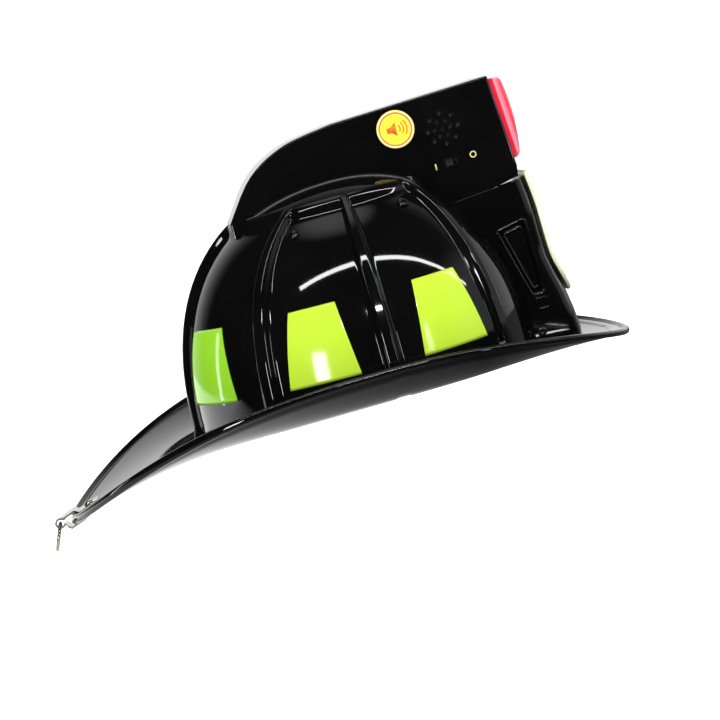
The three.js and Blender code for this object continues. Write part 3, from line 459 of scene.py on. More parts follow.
FINE_SHARES = [0, 0.012, 0.024, 0.034, 0.042, 0.05, 0.058, 0.066]
FINE_SHARES += [0.074, 0.084, 0.1, 0.14, 0.2, 0.28, 0.36, 0.44]
FINE_SHARES = FINE_SHARES + [0.5] + [1 - s for s in reversed(FINE_SHARES[1:])]
FINE_COLUMNS = [rib + share for rib in range(RIBS) for share in FINE_SHARES]
OUTER_TILTS = [3, 6, 9, 12, 15, 18, 21, 24, 26.5, 28, 29, 30, 31, 32, 33, 34, 35.5, 37.5]
OUTER_TILTS += [40, 43, 46, 49, 52, 55, 58, 61, 64, 67, 70, 73, 76, 79, 81.5, 84, 86, 88]
INNER_TILTS = [87, 80, 72, 64, 56, 48, 42, 37, 34, 32, 30, 27, 20, 10, 4]
BRIM_SHARES = [0.06, 0.14, 0.24, 0.34, 0.44, 0.54, 0.63, 0.71, 0.745, 0.76, 0.775, 0.8, 0.86, 0.92]
BEAD_TURNS = [160, 135, 110, 85, 60, 35, 10, -15, -40, -65, -90, -120, -160]
FOOT_TILT = math.radians(88)
FILLET = 3.2


def fine_brim(column, share, raised):
    """A point of the brim's top, measured from the foot of the dome at that column."""
    angle = column_angle(column, 1)
    foot = dome_point(column, FOOT_TILT)
    start = math.hypot(foot.x, foot.y) + FILLET
    edge = edge_radius(angle)
    r = lerp(start, edge, share)
    root = dome_radius(angle, -PANEL_SINK)
    z = brim_height(angle, (r - root) / (edge - root)) + raised
    return r, angle, z


def at(r, angle, z):
    return Vector((r * math.cos(angle), r * math.sin(angle), z))


def fillet_column(column):
    """The hollow between dome and brim at one column, from the dome down."""
    r, angle, z = fine_brim(column, 0, 0)
    foot = dome_point(column, FOOT_TILT)
    start = math.hypot(foot.x, foot.y)
    top = min(z + FILLET, foot.z)
    turns = [math.radians(t) for t in (30, 60, 90)]
    return [at(lerp(start, r, 1 - math.cos(t)), angle, lerp(top, z, math.sin(t))) for t in turns]


def bead_ring(turn):
    """One ring round the bead on the brim's edge."""
    a = math.radians(turn)
    ring = []
    for c in FINE_COLUMNS:
        angle = column_angle(c, 1)
        edge = edge_radius(angle)
        x = edge * math.cos(angle)
        high = bead_rise(x) + 0.8 if math.sin(a) > 0 else 2.0
        z = edge_height(x) - 0.8 + high * math.sin(a)
        ring.append(at(edge - 1.5 + 1.5 * math.cos(a), angle, z))
    return ring


def make_shell():
    """Dome, brim and edge bead as one closed skin: outside from the crown, back up the inside."""
    middle = Vector((0, 0, DOME_HEIGHT))
    directions = [column_angle(c, 0.05) for c in FINE_COLUMNS]
    rings = [[middle + 0.5 * Vector((math.cos(a), math.sin(a), 0)) for a in directions]]
    for tilt in OUTER_TILTS:
        rings.append([dome_point(c, math.radians(tilt)) for c in FINE_COLUMNS])
    rings += [list(ring) for ring in zip(*[fillet_column(c) for c in FINE_COLUMNS])]
    for share in BRIM_SHARES:
        step = 0.7 * smooth(0.74, 0.78, share) * (1 - smooth(0.8, 0.95, share))
        ahead = [smooth(0.1, 0.7, math.cos(column_angle(c, 1))) for c in FINE_COLUMNS]
        rings.append([at(*fine_brim(c, share, step * a)) for c, a in zip(FINE_COLUMNS, ahead)])
    rings += [bead_ring(turn) for turn in BEAD_TURNS]
    for share in (0.92, 0.8, 0.6, 0.4, 0.2, 0.0):
        rings.append([at(*fine_brim(c, share, -WALL)) for c in FINE_COLUMNS])
    for tilt in INNER_TILTS:
        rings.append([dome_point(c, math.radians(tilt), -WALL) for c in FINE_COLUMNS])
    points, faces = loft(rings)
    mesh = mesh_of("shell_skin", points, faces)
    add_object("shell_skin", mesh, gloss_black, "helmet", "shell_gloss", "shell")


make_shell()

# ---------- crest ----------

HAIR = 0.004


def spline(points, steps):
    """A uniform Catmull-Rom curve through plane points, as the CAD source draws it."""
    made = []
    for i in range(steps + 1):
        place = i / steps * (len(points) - 1)
        k = min(int(place), len(points) - 2)
        t = place - k
        p = [Vector(points[min(max(k + j, 0), len(points) - 1)]) for j in (-1, 0, 1, 2)]
        v0, v1 = (p[2] - p[0]) / 2, (p[3] - p[1]) / 2
        cubic = (2 * p[1] - 2 * p[2] + v0 + v1) * t ** 3
        square = (3 * p[2] - 3 * p[1] - 2 * v0 - v1) * t ** 2
        made.append(cubic + square + v0 * t + p[1])
    return made


CREST_BACK_LINE = [(6, 158.9), (-16.8, 155.7), (-28.4, 152.2), (-40.1, 146.4), (-51.7, 136.6)]
CREST_BACK_LINE += [(-65.8, 117.4)]


def crest_outline():
    """The crest from the side, as (x, z), its foot well inside the dome."""
    back = [tuple(p) for p in spline(CREST_BACK_LINE, 14)]
    front = [(crest_front(CREST_TOP), CREST_TOP), (53, 160.6)]
    return front + back + [(CREST_BACK, 70), (crest_front(95), 70), (crest_front(95), 95)]


def rounded_block(name, rings, width, segments, corner_x=None):
    """A hidden solid with rounded edges, its front corners rounder if it has any past corner_x."""
    points, faces = loft(rings)
    block = placed(name, mesh_of(name, points, faces))
    if corner_x is not None:
        round_corners(block, corner_x)
    bevelled(block, width, segments, 38)
    return block


def round_corners(block, corner_x):
    """Rounds the upright edges at the block's widest places in front of corner_x."""
    bm = bmesh.new()
    bm.from_mesh(block.data)
    weights = bm.edges.layers.float.new("bevel_weight_edge")
    for edge in bm.edges:
        a, b = (v.co / MM for v in edge.verts)
        upright_edge = abs(a.z - b.z) > 1 and abs(a.y - b.y) < 0.01
        if upright_edge and min(a.x, b.x) > corner_x and abs(a.y) > BRACKET_HALF - 0.1:
            edge[weights] = 1
    bm.to_mesh(block.data)
    bm.free()
    bevel = block.modifiers.new("corners", "BEVEL")
    bevel.width = 5 * MM
    bevel.segments = 8
    bevel.limit_method = "WEIGHT"


def tidied(mesh):
    """The mesh without slivers and doubled points."""
    bm = bmesh.new()
    bm.from_mesh(mesh)
    bmesh.ops.remove_doubles(bm, verts=bm.verts, dist=8e-6)
    bmesh.ops.dissolve_degenerate(bm, dist=8e-6, edges=bm.edges)
    bm.to_mesh(mesh)
    bm.free()
    return mesh


def flatten_walls(mesh):
    """Shades the upright side walls flat, so that holes in them leave no marks."""
    for polygon in mesh.polygons:
        n = polygon.normal
        if abs(n.z) < 0.01 and abs(n.y) > 0.995:
            polygon.use_smooth = False


def baked(piece):
    """The piece's mesh with its modifiers applied."""
    graph = bpy.context.evaluated_depsgraph_get()
    return bpy.data.meshes.new_from_object(piece.evaluated_get(graph))


def rounded_by(node_name, name, block, material, slot):
    """A CAD node's shape kept to what lies inside a rounded block."""
    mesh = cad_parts[node_name].data.copy()
    mesh.name = name
    mesh.materials.clear()
    work = placed(name + "_work", mesh)
    cut = work.modifiers.new("inside", "BOOLEAN")
    cut.operation = "INTERSECT"
    cut.solver = "EXACT"
    cut.object = block
    shaped = tidied(baked(work))
    bpy.data.objects.remove(work)
    shaped.materials.clear()
    piece = add_object(name, shaped, material, "helmet", slot, node_name)
    shaped.set_sharp_from_angle(angle=math.radians(30))
    flatten_walls(shaped)
    even_shading(piece)


def lift(value):
    """Keeps a cutting block a hair outside the CAD faces it lies along."""
    return value + HAIR


crest_rings = [[Vector((x, side * lift(crest_half(x)), z)) for x, z in crest_outline()]
               for side in (-1, 1)]
crest_block = rounded_block("crest_block", crest_rings, 1.1, 4)
for word in ("right", "left"):
    rounded_by(f"crest_{word}_half", f"crest_{word}_skin", crest_block, crest_black, "crest_gloss")
bpy.data.objects.remove(crest_block)

door = refined("battery_door", "battery_door_skin", crest_black, "battery_door", "crest_gloss",
               0.3)
door.data = tidied(baked(door))
door.modifiers.clear()
door.data.set_sharp_from_angle(angle=math.radians(30))
flatten_walls(door.data)

# ---------- front bracket ----------

BRACKET_FACE = [(0, 122), (12, 121), (25, 119.2), (40, 115.6), (52, 113.2), (80, 112.2)]
BRACKET_FACE += [(100, 110.2)]
BRACKET_LINE = spline(BRACKET_FACE, 40)


def face_x(y, z):
    """How far forward the bracket's face stands."""
    i = next((k for k, p in enumerate(BRACKET_LINE) if p.x > z), len(BRACKET_LINE) - 1)
    low, high = BRACKET_LINE[max(i - 1, 0)], BRACKET_LINE[max(i, 1)]
    share = min(max((z - low.x) / (high.x - low.x), 0), 1)
    return lerp(low.y, high.y, share) - 6 * (y / BRACKET_HALF) ** 2


def bracket_rings():
    """Level outlines of the bracket's block, from below the brim to its sloping top."""
    side = lift(BRACKET_HALF)
    rings = []
    for j in range(10):
        front_z = lerp(-8, BRACKET_TOP + 4.5, j / 9)
        back_z = lerp(-8, BRACKET_TOP, j / 9)
        raised = HAIR if j == 9 else 0
        ring = [Vector((50, -side, back_z))]
        for i in range(9):
            y = lerp(-side, side, i / 8)
            ring.append(Vector((lift(face_x(y, max(front_z, 0))), y, front_z + raised)))
        ring.append(Vector((50, side, back_z)))
        rings.append(ring)
    return rings


bracket_block = rounded_block("bracket_block", bracket_rings(), 1.2, 3, corner_x=90)
rounded_by("front_bracket", "front_bracket_skin", bracket_block, bracket_black, "bracket_gloss")
bpy.data.objects.remove(bracket_block)

POCKET = [(83.3, 72.8), (94.5, 31), (102, 31), (101, 76.3)]
POCKET_FLOOR = [(87.2, 69.6), (96.3, 34.6), (99.4, 34.6), (98.4, 72.2)]
TAB = [(96.2, 22.2), (102, 22.2), (101.6, 28.6), (95.8, 28.6)]


def bead_path(corners, radius, steps=5):
    """A closed outline with its corners rounded."""
    made = []
    count = len(corners)
    for i in range(count):
        before, here, after = (Vector(corners[(i + k) % count]) for k in (-1, 0, 1))
        a = here + (before - here).normalized() * radius
        b = here + (after - here).normalized() * radius
        for k in range(steps + 1):
            t = k / steps
            made.append(a * (1 - t) ** 2 + here * 2 * t * (1 - t) + b * t * t)
    return made


def outline_bead(name, corners, side, rounding, half_width, rise, stand):
    """A rounded bead that follows an outline on the bracket's side."""
    path = bead_path(corners, rounding)
    rings = []
    for i, p in enumerate(path):
        onward = (path[(i + 1) % len(path)] - path[i - 1]).normalized()
        across = Vector((onward.y, -onward.x))
        ring = []
        for k in range(12):
            t = 2 * math.pi * k / 12
            a = across * half_width * math.cos(t)
            ring.append(Vector((p.x + a.x, side * (stand + rise * math.sin(t)), p.y + a.y)))
        rings.append(ring)
    points, faces = loft(rings + [rings[0]], closed_ends=False)
    add_object(name, mesh_of(name, points, faces), bracket_black, "helmet", "bracket_gloss")


for side, word in ((-1, "right"), (1, "left")):
    outline_bead(f"pocket_bead_{word}", POCKET, side, 2.2, 0.9, 0.8, BRACKET_HALF - 0.1)
    outline_bead(f"pocket_floor_bead_{word}", POCKET_FLOOR, side, 1.6, 1.1, 1.0,
                 BRACKET_HALF - 2.2)
    outline_bead(f"tab_bead_{word}", TAB, side, 0.9, 0.5, 0.5, BRACKET_HALF + 0.9)

# ---------- lens ----------

LENS_HALF, LENS_LOW, LENS_HIGH, LENS_ROUND, LENS_THICK = 29, 111.5, 160.2, 3, 1.8
LENS_FOOT, LENS_MIDDLE, LENS_HEAD, LENS_BOW = 6.5, 10.5, 9.7, 2.5


def lens_front(y, z):
    """How far forward the lens stands, bowed both ways."""
    share = (z - LENS_LOW) / (LENS_HIGH - LENS_LOW)
    level = lerp(LENS_FOOT, LENS_HEAD, share)
    swell = LENS_MIDDLE - (LENS_FOOT + LENS_HEAD) / 2
    bow = LENS_BOW * abs(y / LENS_HALF) ** 2.5
    return crest_front(z) + level + 4 * swell * share * (1 - share) - bow


def rounded_back(distance):
    """How far the lens draws back this near to an edge."""
    left = LENS_ROUND - min(distance, LENS_ROUND)
    return LENS_ROUND - math.sqrt(LENS_ROUND ** 2 - left ** 2)


def lens_places(low, high, between):
    ends = [0, 0.12, 0.45, 0.95, 1.6, 2.3, 3.0]
    inner = [lerp(low + 3, high - 3, i / between) for i in range(1, between)]
    return [low + e for e in ends] + inner + [high - e for e in reversed(ends)]


def lens_rings(inset, back):
    half = LENS_HALF - inset
    low, high = LENS_LOW + inset, LENS_HIGH - inset
    rings = []
    for z in lens_places(low, high, 20):
        ring = [Vector((crest_front(z) - back, -half, z))]
        for y in lens_places(-half, half, 22):
            drawn = rounded_back(min(z - low, high - z)) + rounded_back(half - abs(y))
            ring.append(Vector((lens_front(y, z) - inset - drawn, y, z)))
        ring.append(Vector((crest_front(z) - back, half, z)))
        rings.append(ring)
    return rings


def make_lens():
    """The lens as one thin cap: an outer skin and an inner skin joined at the back rim."""
    outer, inner = lens_rings(0, 2.2), lens_rings(LENS_THICK, 2.2)
    points = [p for ring in outer for p in ring]
    shift = len(points)
    points += [p for ring in inner for p in ring]
    count, rows = len(outer[0]), len(outer)
    faces = []
    for r in range(rows - 1):
        for c in range(count - 1):
            a = r * count + c
            faces.append((a, a + 1, a + 1 + count, a + count))
            faces.append((shift + a, shift + a + count, shift + a + 1 + count, shift + a + 1))
    bottom = list(range(count))
    top = list(range((rows - 1) * count, rows * count))
    faces.append(tuple(reversed(bottom)))
    faces.append(tuple(top))
    faces.append(tuple(shift + i for i in bottom))
    faces.append(tuple(shift + i for i in reversed(top)))
    rim = [r * count for r in range(rows)] + [r * count + count - 1 for r in reversed(range(rows))]
    for a, b in zip(rim, rim[1:] + rim[:1]):
        faces.append((a, b, shift + b, shift + a))
    return mesh_of("lens_cap", points, faces)


lens = add_object("lens_cap", make_lens(), red_lens, "helmet", "lens_red", "siren_lens")
even_shading(lens, keep_sharp=False)

# ---------- reflective panels ----------

DECAL_BOTTOM, DECAL_TOP = 23, 16.3


def make_decal(name, middle, node_name, look):
    """A thin film on the dome, narrower at its top, centred on a column."""
    rows, columns = 28, 20
    skins = []
    for offset in (0.15, 0.5):
        grid = []
        for i in range(rows + 1):
            tilt = math.radians(lerp(83.8, 65, i / rows))
            half = lerp(DECAL_BOTTOM, DECAL_TOP, i / rows) / PANEL_SPAN
            row = [middle + half * (1 - 2 * j / columns) for j in range(columns + 1)]
            grid.append([dome_point(column, tilt, offset) for column in row])
        skins.append(grid)
    rings = [low + list(reversed(high)) for low, high in zip(*skins)]
    points, faces = loft(rings)
    mesh = mesh_of(name, points, faces)
    even_shading(add_object(name, mesh, look, "helmet", "decal_lime", node_name))


for place, panel, forward in (("front", 1, 3.5), ("middle", 2, -4.3), ("rear", 3, -7)):
    middle_line = panel + 0.5 - forward / PANEL_SPAN
    # The rear decals take the darker copy of the film: painted shade.
    film = lime_shaded_rear if place == "rear" else lime
    make_decal(f"decal_left_{place}", middle_line, f"reflective_left_{place}", film)
    make_decal(f"decal_right_{place}", RIBS - middle_line, f"reflective_right_{place}", film)

# ---------- shield, rivets and bolts ----------

SHIELD_HALF, SHIELD_LOW, SHIELD_HIGH = 27, 26, 103
RIM, STRIPE = 1, 2
HEAD_SEAT = 1.7


def shield_half(share):
    """Half the shield's width: a round foot, then a waist under the top."""
    foot = math.sqrt(max(1 - (1 - min(share / 0.45, 1)) ** 2, 0))
    waist = 1 - 0.1 * math.sin(math.pi * smooth(0.5, 1, share))
    return SHIELD_HALF * (0.12 + 0.88 * foot) * waist


def shield_outline(inset):
    """Points round the shield's edge, drawn in towards its middle."""
    right = []
    for i in range(41):
        share = i / 40
        z = lerp(SHIELD_LOW + inset, SHIELD_HIGH - inset, share)
        right.append((max(shield_half(share) - inset, 1), z))
    return [(y, z) for y, z in right] + [(-y, z) for y, z in reversed(right)]


def shield_ring(inset, stand):
    return [Vector((face_x(y * 0.8, z) + stand, y, z)) for y, z in shield_outline(inset)]


def make_shield():
    """A curved plate with a dished face inside a raised rim."""
    steps = ((0.5, 1.0), (0, 1.4), (0, 3.0), (0.5, 3.5), (2.2, 3.5), (2.8, 3.1), (5.2, 3.1))
    rings = [shield_ring(inset, stand) for inset, stand in steps]
    points, faces = loft(rings, closed_ends=False)
    count = len(rings[0])
    half = count // 2
    last = (len(rings) - 1) * count
    for start, flip in ((0, True), (last, False)):
        for i in range(half - 1):
            quad = (start + i, start + i + 1, start + count - 2 - i, start + count - 1 - i)
            faces.append(tuple(reversed(quad)) if flip else quad)
    mesh = mesh_of("shield_plate", points, faces)
    piece = add_object("shield_plate", mesh, shield_white, "helmet", "shield_white", "front_shield")
    mesh.materials.append(shield_rim)
    mesh.materials.append(shield_gold)
    for polygon in list(mesh.polygons)[:(len(rings) - 1) * count]:
        polygon.material_index = STRIPE if polygon.index >= (len(rings) - 2) * count else RIM
    even_shading(piece)


make_shield()


def circle(radius, count):
    return [(radius * math.cos(2 * math.pi * i / count), radius * math.sin(2 * math.pi * i / count))
            for i in range(count)]


def revolved(name, profile, origin, axis, material, body, slot, *nodes, sides=48):
    """A piece turned from (radius, height) pairs, its height running along axis from origin."""
    turn = Vector((0, 0, 1)).rotation_difference(Vector(axis).normalized()).to_matrix()
    rings = [[Vector(origin) + turn @ Vector((x, y, height)) for x, y in circle(radius, sides)]
             for radius, height in profile]
    points, faces = loft(rings)
    piece = add_object(name, mesh_of(name, points, faces), material, body, slot, *nodes)
    even_shading(piece)


def node_centre(name):
    low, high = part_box(name)
    return (Vector(low) + Vector(high)) / 2 / MM


def head_seat(name, outward):
    """Where a rivet's domed head starts, measured back from the tip of the CAD rivet."""
    centre = node_centre(name)
    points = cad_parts[name].data.vertices
    tip = max((v.co / MM - centre).dot(outward) for v in points)
    return centre + outward * (tip - HEAD_SEAT)


def domed(radius, height, recess=0.0):
    """A rivet head's profile, with an optional round recess in the top."""
    side = 0.35
    rows = [(radius * 0.6, -0.6), (radius, 0), (radius, side)]
    for t in (math.radians(15), math.radians(30), math.radians(45), math.radians(60)):
        rows.append((radius * math.cos(t), side + (height - side) * math.sin(t)))
    if recess:
        floor = height - 0.9
        rows += [(recess + 0.2, height), (recess, height - 0.1)]
        rows += [(recess - 0.1, floor), (0.05, floor)]
    else:
        rows += [(radius * 0.25, height * 0.985), (0.05, height)]
    return rows


DOME_SIZE = Vector((DOME_REAR, DOME_SIDE, DOME_HEIGHT))
for corner in ("front_left", "front_right", "rear_left", "rear_right"):
    rivet = f"dome_rivet_{corner}"
    centre = node_centre(rivet)
    outward = Vector([centre[i] / DOME_SIZE[i] ** 2 for i in range(3)]).normalized()
    revolved(f"rivet_{corner}", [(1.4, -9)] + domed(3.4, 1.9), head_seat(rivet, outward), outward,
             trim_black, "helmet", "black_trim", rivet)

for side, word in ((-1, "right"), (1, "left")):
    seat = (94.3, side * (BRACKET_HALF + 0.35), 9)
    revolved(f"bracket_bolt_{word}", [(1.4, -5)] + domed(3.0, 1.7, 1.3), seat, (0, side, 0),
             trim_black, "helmet", "black_trim", f"bracket_screw_{word}")

# ---------- controls on the right wall ----------

WALL_TURN = math.atan(CREST_FLARE)


def wall_frame(x, z, side=-1):
    """Origin, along, up and outward directions of a place on a crest wall."""
    along = Vector((math.cos(WALL_TURN), side * math.sin(WALL_TURN), 0))
    outward = Vector((-math.sin(WALL_TURN), side * math.cos(WALL_TURN), 0))
    return Vector((x, side * crest_half(x), z)), along, Vector((0, 0, 1)), outward


def wall_ring(place, outline, height):
    """Points of an (along, up) outline at a height over the right wall."""
    origin, along, up, outward = place
    return [origin + along * a + up * b + outward * height for a, b in outline]


def wall_plate(name, outline, x, z, low, high, material, body, slot):
    """A flat shape lying on the right wall."""
    rings = [wall_ring(wall_frame(x, z), outline, height) for height in (low, high)]
    points, faces = loft(rings)
    add_object(name, mesh_of(name, points, faces), material, body, slot)


def wall_band(name, profile, x, z, count, *look):
    """A ring on the right wall, turned from a closed line of (radius, height) pairs."""
    rings = [wall_ring(wall_frame(x, z), circle(radius, count), height)
             for radius, height in profile]
    points, faces = loft(rings, closed_ends=False)
    add_object(name, mesh_of(name, points, faces), *look)


def flat_band(name, inner, outer, x, z, low, high, *look):
    """A flat ring on the right wall."""
    profile = [(inner, low), (outer, low), (outer, high), (inner, high), (inner, low)]
    wall_band(name, profile, x, z, 64, *look)


BUTTON_X, BUTTON_Z = 41.7, 146.1
LABEL_LOW, BORDER_HIGH, PRINT_HIGH = 1.68, 1.76, 1.78
ON_BUTTON = ("sound_button", "button_yellow")
button, _, _, outward = wall_frame(BUTTON_X, BUTTON_Z)
body_profile = [(2, -7.5), (2.5, -3.7), (11.6, -3.7), (11.6, -2.6), (11, -2.5), (11, 0.7)]
body_profile += [(10.7, 1.0), (0.05, 1.0)]
revolved("button_body", body_profile, button, outward, trim_black, "sound_button", "black_trim",
         "sound_button", sides=64)
disc_profile = [(10.6, 1.3), (11.0, 1.35), (11.1, 1.5), (10.9, 1.66), (10.5, 1.7), (0.05, 1.7)]
revolved("label_disc", disc_profile, button, outward, yellow, *ON_BUTTON, "button_label", sides=64)
flat_band("label_border", 9.9, 10.7, BUTTON_X, BUTTON_Z, LABEL_LOW, BORDER_HIGH, cream, *ON_BUTTON)
flat_band("label_ring", 9.0, 9.9, BUTTON_X, BUTTON_Z, LABEL_LOW, PRINT_HIGH, orange, *ON_BUTTON)


def button_print(name, outline):
    wall_plate(name, outline, BUTTON_X, BUTTON_Z, LABEL_LOW, PRINT_HIGH, orange, *ON_BUTTON)


horn = [(-5.2, -1.6), (-2.6, -1.6), (0.4, -4.2), (0.4, 4.2), (-2.6, 1.6), (-5.2, 1.6)]
button_print("label_horn", horn)
sweep = [math.radians(-38 + 76 * k / 14) for k in range(15)]
for i, radius in enumerate((3.0, 5.0, 7.0)):
    wave = [((radius + 0.4) * math.cos(a), (radius + 0.4) * math.sin(a)) for a in sweep]
    wave += [((radius - 0.4) * math.cos(a), (radius - 0.4) * math.sin(a)) for a in reversed(sweep)]
    button_print(f"label_wave_{i + 1}", [(a - 0.3, b) for a, b in wave])

ON_WALL = (-0.1, 0.12, print_yellow, "helmet", "button_yellow")
bar = [(-0.45, -1.8), (0.45, -1.8), (0.45, 1.8), (-0.45, 1.8)]
wall_plate("mark_on", bar, 59, 118.5, *ON_WALL)
flat_band("mark_off", 1.3, 2.0, 81.8, 120.2, *ON_WALL)

GRILLE_X, GRILLE_Z = 68.5, 139.2
LIP = [(1.0, -0.2), (1.5, -0.2), (1.45, 0.12), (1.25, 0.2), (1.05, 0.1), (1.0, -0.2)]
for count, radius in ((1, 0), (6, 4.6), (8, 9)):
    for k in range(count):
        turn = 2 * math.pi * (k + 1) / count
        x, z = GRILLE_X + radius * math.cos(turn), GRILLE_Z + radius * math.sin(turn)
        wall_band(f"grille_lip_{count}_{k + 1}", LIP, x, z, 16, crest_black, "helmet",
                  "crest_gloss")

refined("power_switch_slider", "slider_knob", trim_black, "power_switch", "switch_black", 0.25)

# ---------- tail clip and ring ----------

TAIL_SLOPE = math.radians(19)
RING_EYE = Vector((-209.377, 0, -27.564))
RING_LEAN = math.radians(22)
RING_RADIUS, WIRE_RADIUS = 8, 1.1

refined("tail_clip", "hanger_clip", bright, "helmet", "clip_metal", 0.35, 3, 30)
tail_up = Vector((-math.sin(TAIL_SLOPE), 0, math.cos(TAIL_SLOPE)))
revolved("hanger_rivet", [(1.45, -6)] + domed(3.0, 1.7, 1.1), head_seat("tail_rivet", tail_up),
         tail_up, bright, "helmet", "clip_metal", "tail_rivet")


def make_ring():
    """A smooth wire ring hanging from the clip's eye."""
    down = Vector((-math.sin(RING_LEAN), 0, -math.cos(RING_LEAN)))
    across = Vector((0, 1, 0))
    side = down.cross(across)
    middle = RING_EYE + down * RING_RADIUS
    rings = []
    for i in range(97):
        turn = 2 * math.pi * i / 96
        out = down * math.cos(turn) + across * math.sin(turn)
        rings.append([middle + out * (RING_RADIUS + a) + side * b
                      for a, b in circle(WIRE_RADIUS, 16)])
    points, faces = loft(rings, closed_ends=False)
    mesh = mesh_of("hanging_ring", points, faces)
    add_object("hanging_ring", mesh, ring_metal, "tail_ring", "ring_metal", "tail_ring")


make_ring()

# ---------- suspension ----------

refined("headband", "headband_skin", band_plastic, "helmet", "band_grey", 0.4, 2, 35)
refined("nape_band", "nape_band_skin", band_plastic, "nape_band", "band_grey", 0.4, 2, 35)
for i in (1, 2):
    refined(f"crown_strap_{i}", f"webbing_strap_{i}", webbing, "helmet", "strap_webbing", 0.3,
            2, 35)


PAD_VOXEL = 0.002
PAD_MIDDLE_Z, PAD_HEIGHT_KEPT = 0.018, 0.9
PAD_LINE, PAD_DEPTH_KEPT = (0.0823, 0.0703), 0.55
PAD_MOVE = 0.001
CLOTH = {"quality": 6, "mass": 0.2, "tension_stiffness": 12, "compression_stiffness": 12,
         "bending_stiffness": 0.4, "use_pressure": True, "uniform_pressure_force": 4}


def slimmed(mesh):
    """Draws the pad in towards its middle height and the line round its middle thickness."""
    for v in mesh.vertices:
        v.co.z = PAD_MIDDLE_Z + (v.co.z - PAD_MIDDLE_Z) * PAD_HEIGHT_KEPT
        reach = math.hypot(v.co.x / PAD_LINE[0], v.co.y / PAD_LINE[1])
        slim = (1 + (reach - 1) * PAD_DEPTH_KEPT) / reach
        v.co.x *= slim
        v.co.y *= slim


def puffed(pad):
    """Swells the pad as cloth under pressure, no point moving more than PAD_MOVE."""
    start = [v.co.copy() for v in pad.data.vertices]
    cloth = pad.modifiers.new("cover", "CLOTH")
    for setting, value in CLOTH.items():
        setattr(cloth.settings, setting, value)
    cloth.settings.effector_weights.gravity = 0
    for frame_number in range(1, 21):
        bpy.context.scene.frame_set(frame_number)
    blown = baked(pad)
    pad.modifiers.clear()
    pad.data = blown
    for v, was in zip(blown.vertices, start):
        move = v.co - was
        if move.length > PAD_MOVE:
            v.co = was + move.normalized() * PAD_MOVE
    bpy.context.scene.frame_set(1)


def make_pad():
    """The brow pad: the CAD pad drawn in a little, then swelled slightly as cloth and smoothed."""
    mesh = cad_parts["brow_pad"].data.copy()
    mesh.name = "brow_pad_cover"
    mesh.materials.clear()
    mesh.materials.append(pad_cloth)
    pad = placed("brow_pad_cover", mesh)
    remesh = pad.modifiers.new("grid", "REMESH")
    remesh.mode = "VOXEL"
    remesh.voxel_size = PAD_VOXEL
    fine = baked(pad)
    pad.modifiers.clear()
    pad.data = fine
    slimmed(fine)
    puffed(pad)
    pad.data.polygons.foreach_set("use_smooth", [True] * len(pad.data.polygons))
    if not pad.data.materials:
        pad.data.materials.append(pad_cloth)
    rounded = pad.modifiers.new("smooth", "SMOOTH")
    rounded.iterations = 6
    finer = pad.modifiers.new("finer", "SUBSURF")
    finer.levels = 1
    finer.render_levels = 1
    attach(pad, "helmet")
    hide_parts("brow_pad")


make_pad()

# ---------- looks of the CAD pieces that stay ----------

STUDS = [f"strap_stud_{a}_{b}" for a in ("front", "rear") for b in ("left", "right")]
SCREWS = [f"crest_joint_screw_{k}" for k in (1, 2, 3)]
SCREWS += [f"crest_mount_screw_{k}" for k in (1, 2, 3, 4)]
for names, material, slot in (
        (["lamp_reflector"], white_plastic, "reflector_white"),
        (["led_1", "led_2", "led_3"], led_epoxy, "led_body"),
        (["circuit_board"], board_green, "board_green"),
        (["speaker"], paper_cone, "speaker_cone"),
        (["speaker_ring", "power_switch_body", "battery_box"], inner_plastic, "inner_grey"),
        (["tact_switch"], trim_black, "switch_black"),
        (["battery_1", "battery_2", "battery_3"], steel, "cell_steel"),
        (["battery_spring"], steel, "spring_steel"),
        (["shield_screw_1", "shield_screw_2"], shield_white, "shield_white"),
        (["battery_door_screw"] + SCREWS + STUDS, steel, "screw_steel")):
    for name in names:
        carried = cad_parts[name]
        carried.data.materials.clear()
        carried.data.materials.append(material)

# ---------- camera, floor and light ----------

TURN, RISE, ROLL = math.radians(-4), math.radians(6), math.radians(15.2)
RIGHT = Vector((math.cos(TURN), math.sin(TURN), 0))
BACK = Vector((math.sin(TURN) * math.cos(RISE), -math.cos(TURN) * math.cos(RISE), math.sin(RISE)))
UP = Vector((-math.sin(TURN) * math.sin(RISE), math.cos(TURN) * math.sin(RISE), math.cos(RISE)))

AIM_RIGHT, AIM_UP, DISTANCE = -0.0114, 0.018, 1.5

camera_data = bpy.data.cameras.new("camera")
camera_data.lens = 125
camera_data.sensor_width = 36
camera = placed("camera", camera_data)
bpy.context.scene.camera = camera
rolled_right = math.cos(ROLL) * RIGHT - math.sin(ROLL) * UP
rolled_up = math.sin(ROLL) * RIGHT + math.cos(ROLL) * UP
facing = Matrix((rolled_right, rolled_up, BACK)).transposed().to_4x4()
stand = AIM_RIGHT * RIGHT + AIM_UP * UP + DISTANCE * BACK
camera.matrix_world = Matrix.Translation(stand) @ facing

bpy.context.scene.view_settings.view_transform = "Standard"


DIM = 0.008
STUDIO_SIDES = (((0.35, 0.94, 0), 0.2, 0.8, 1.0), ((0, 0, 1), 0.93, 0.995, 1.0),
                ((0.98, -0.2, 0), 0.86, 0.98, 0.5))
FLOOR_HALF, FLOOR_Z = 6, -0.0445


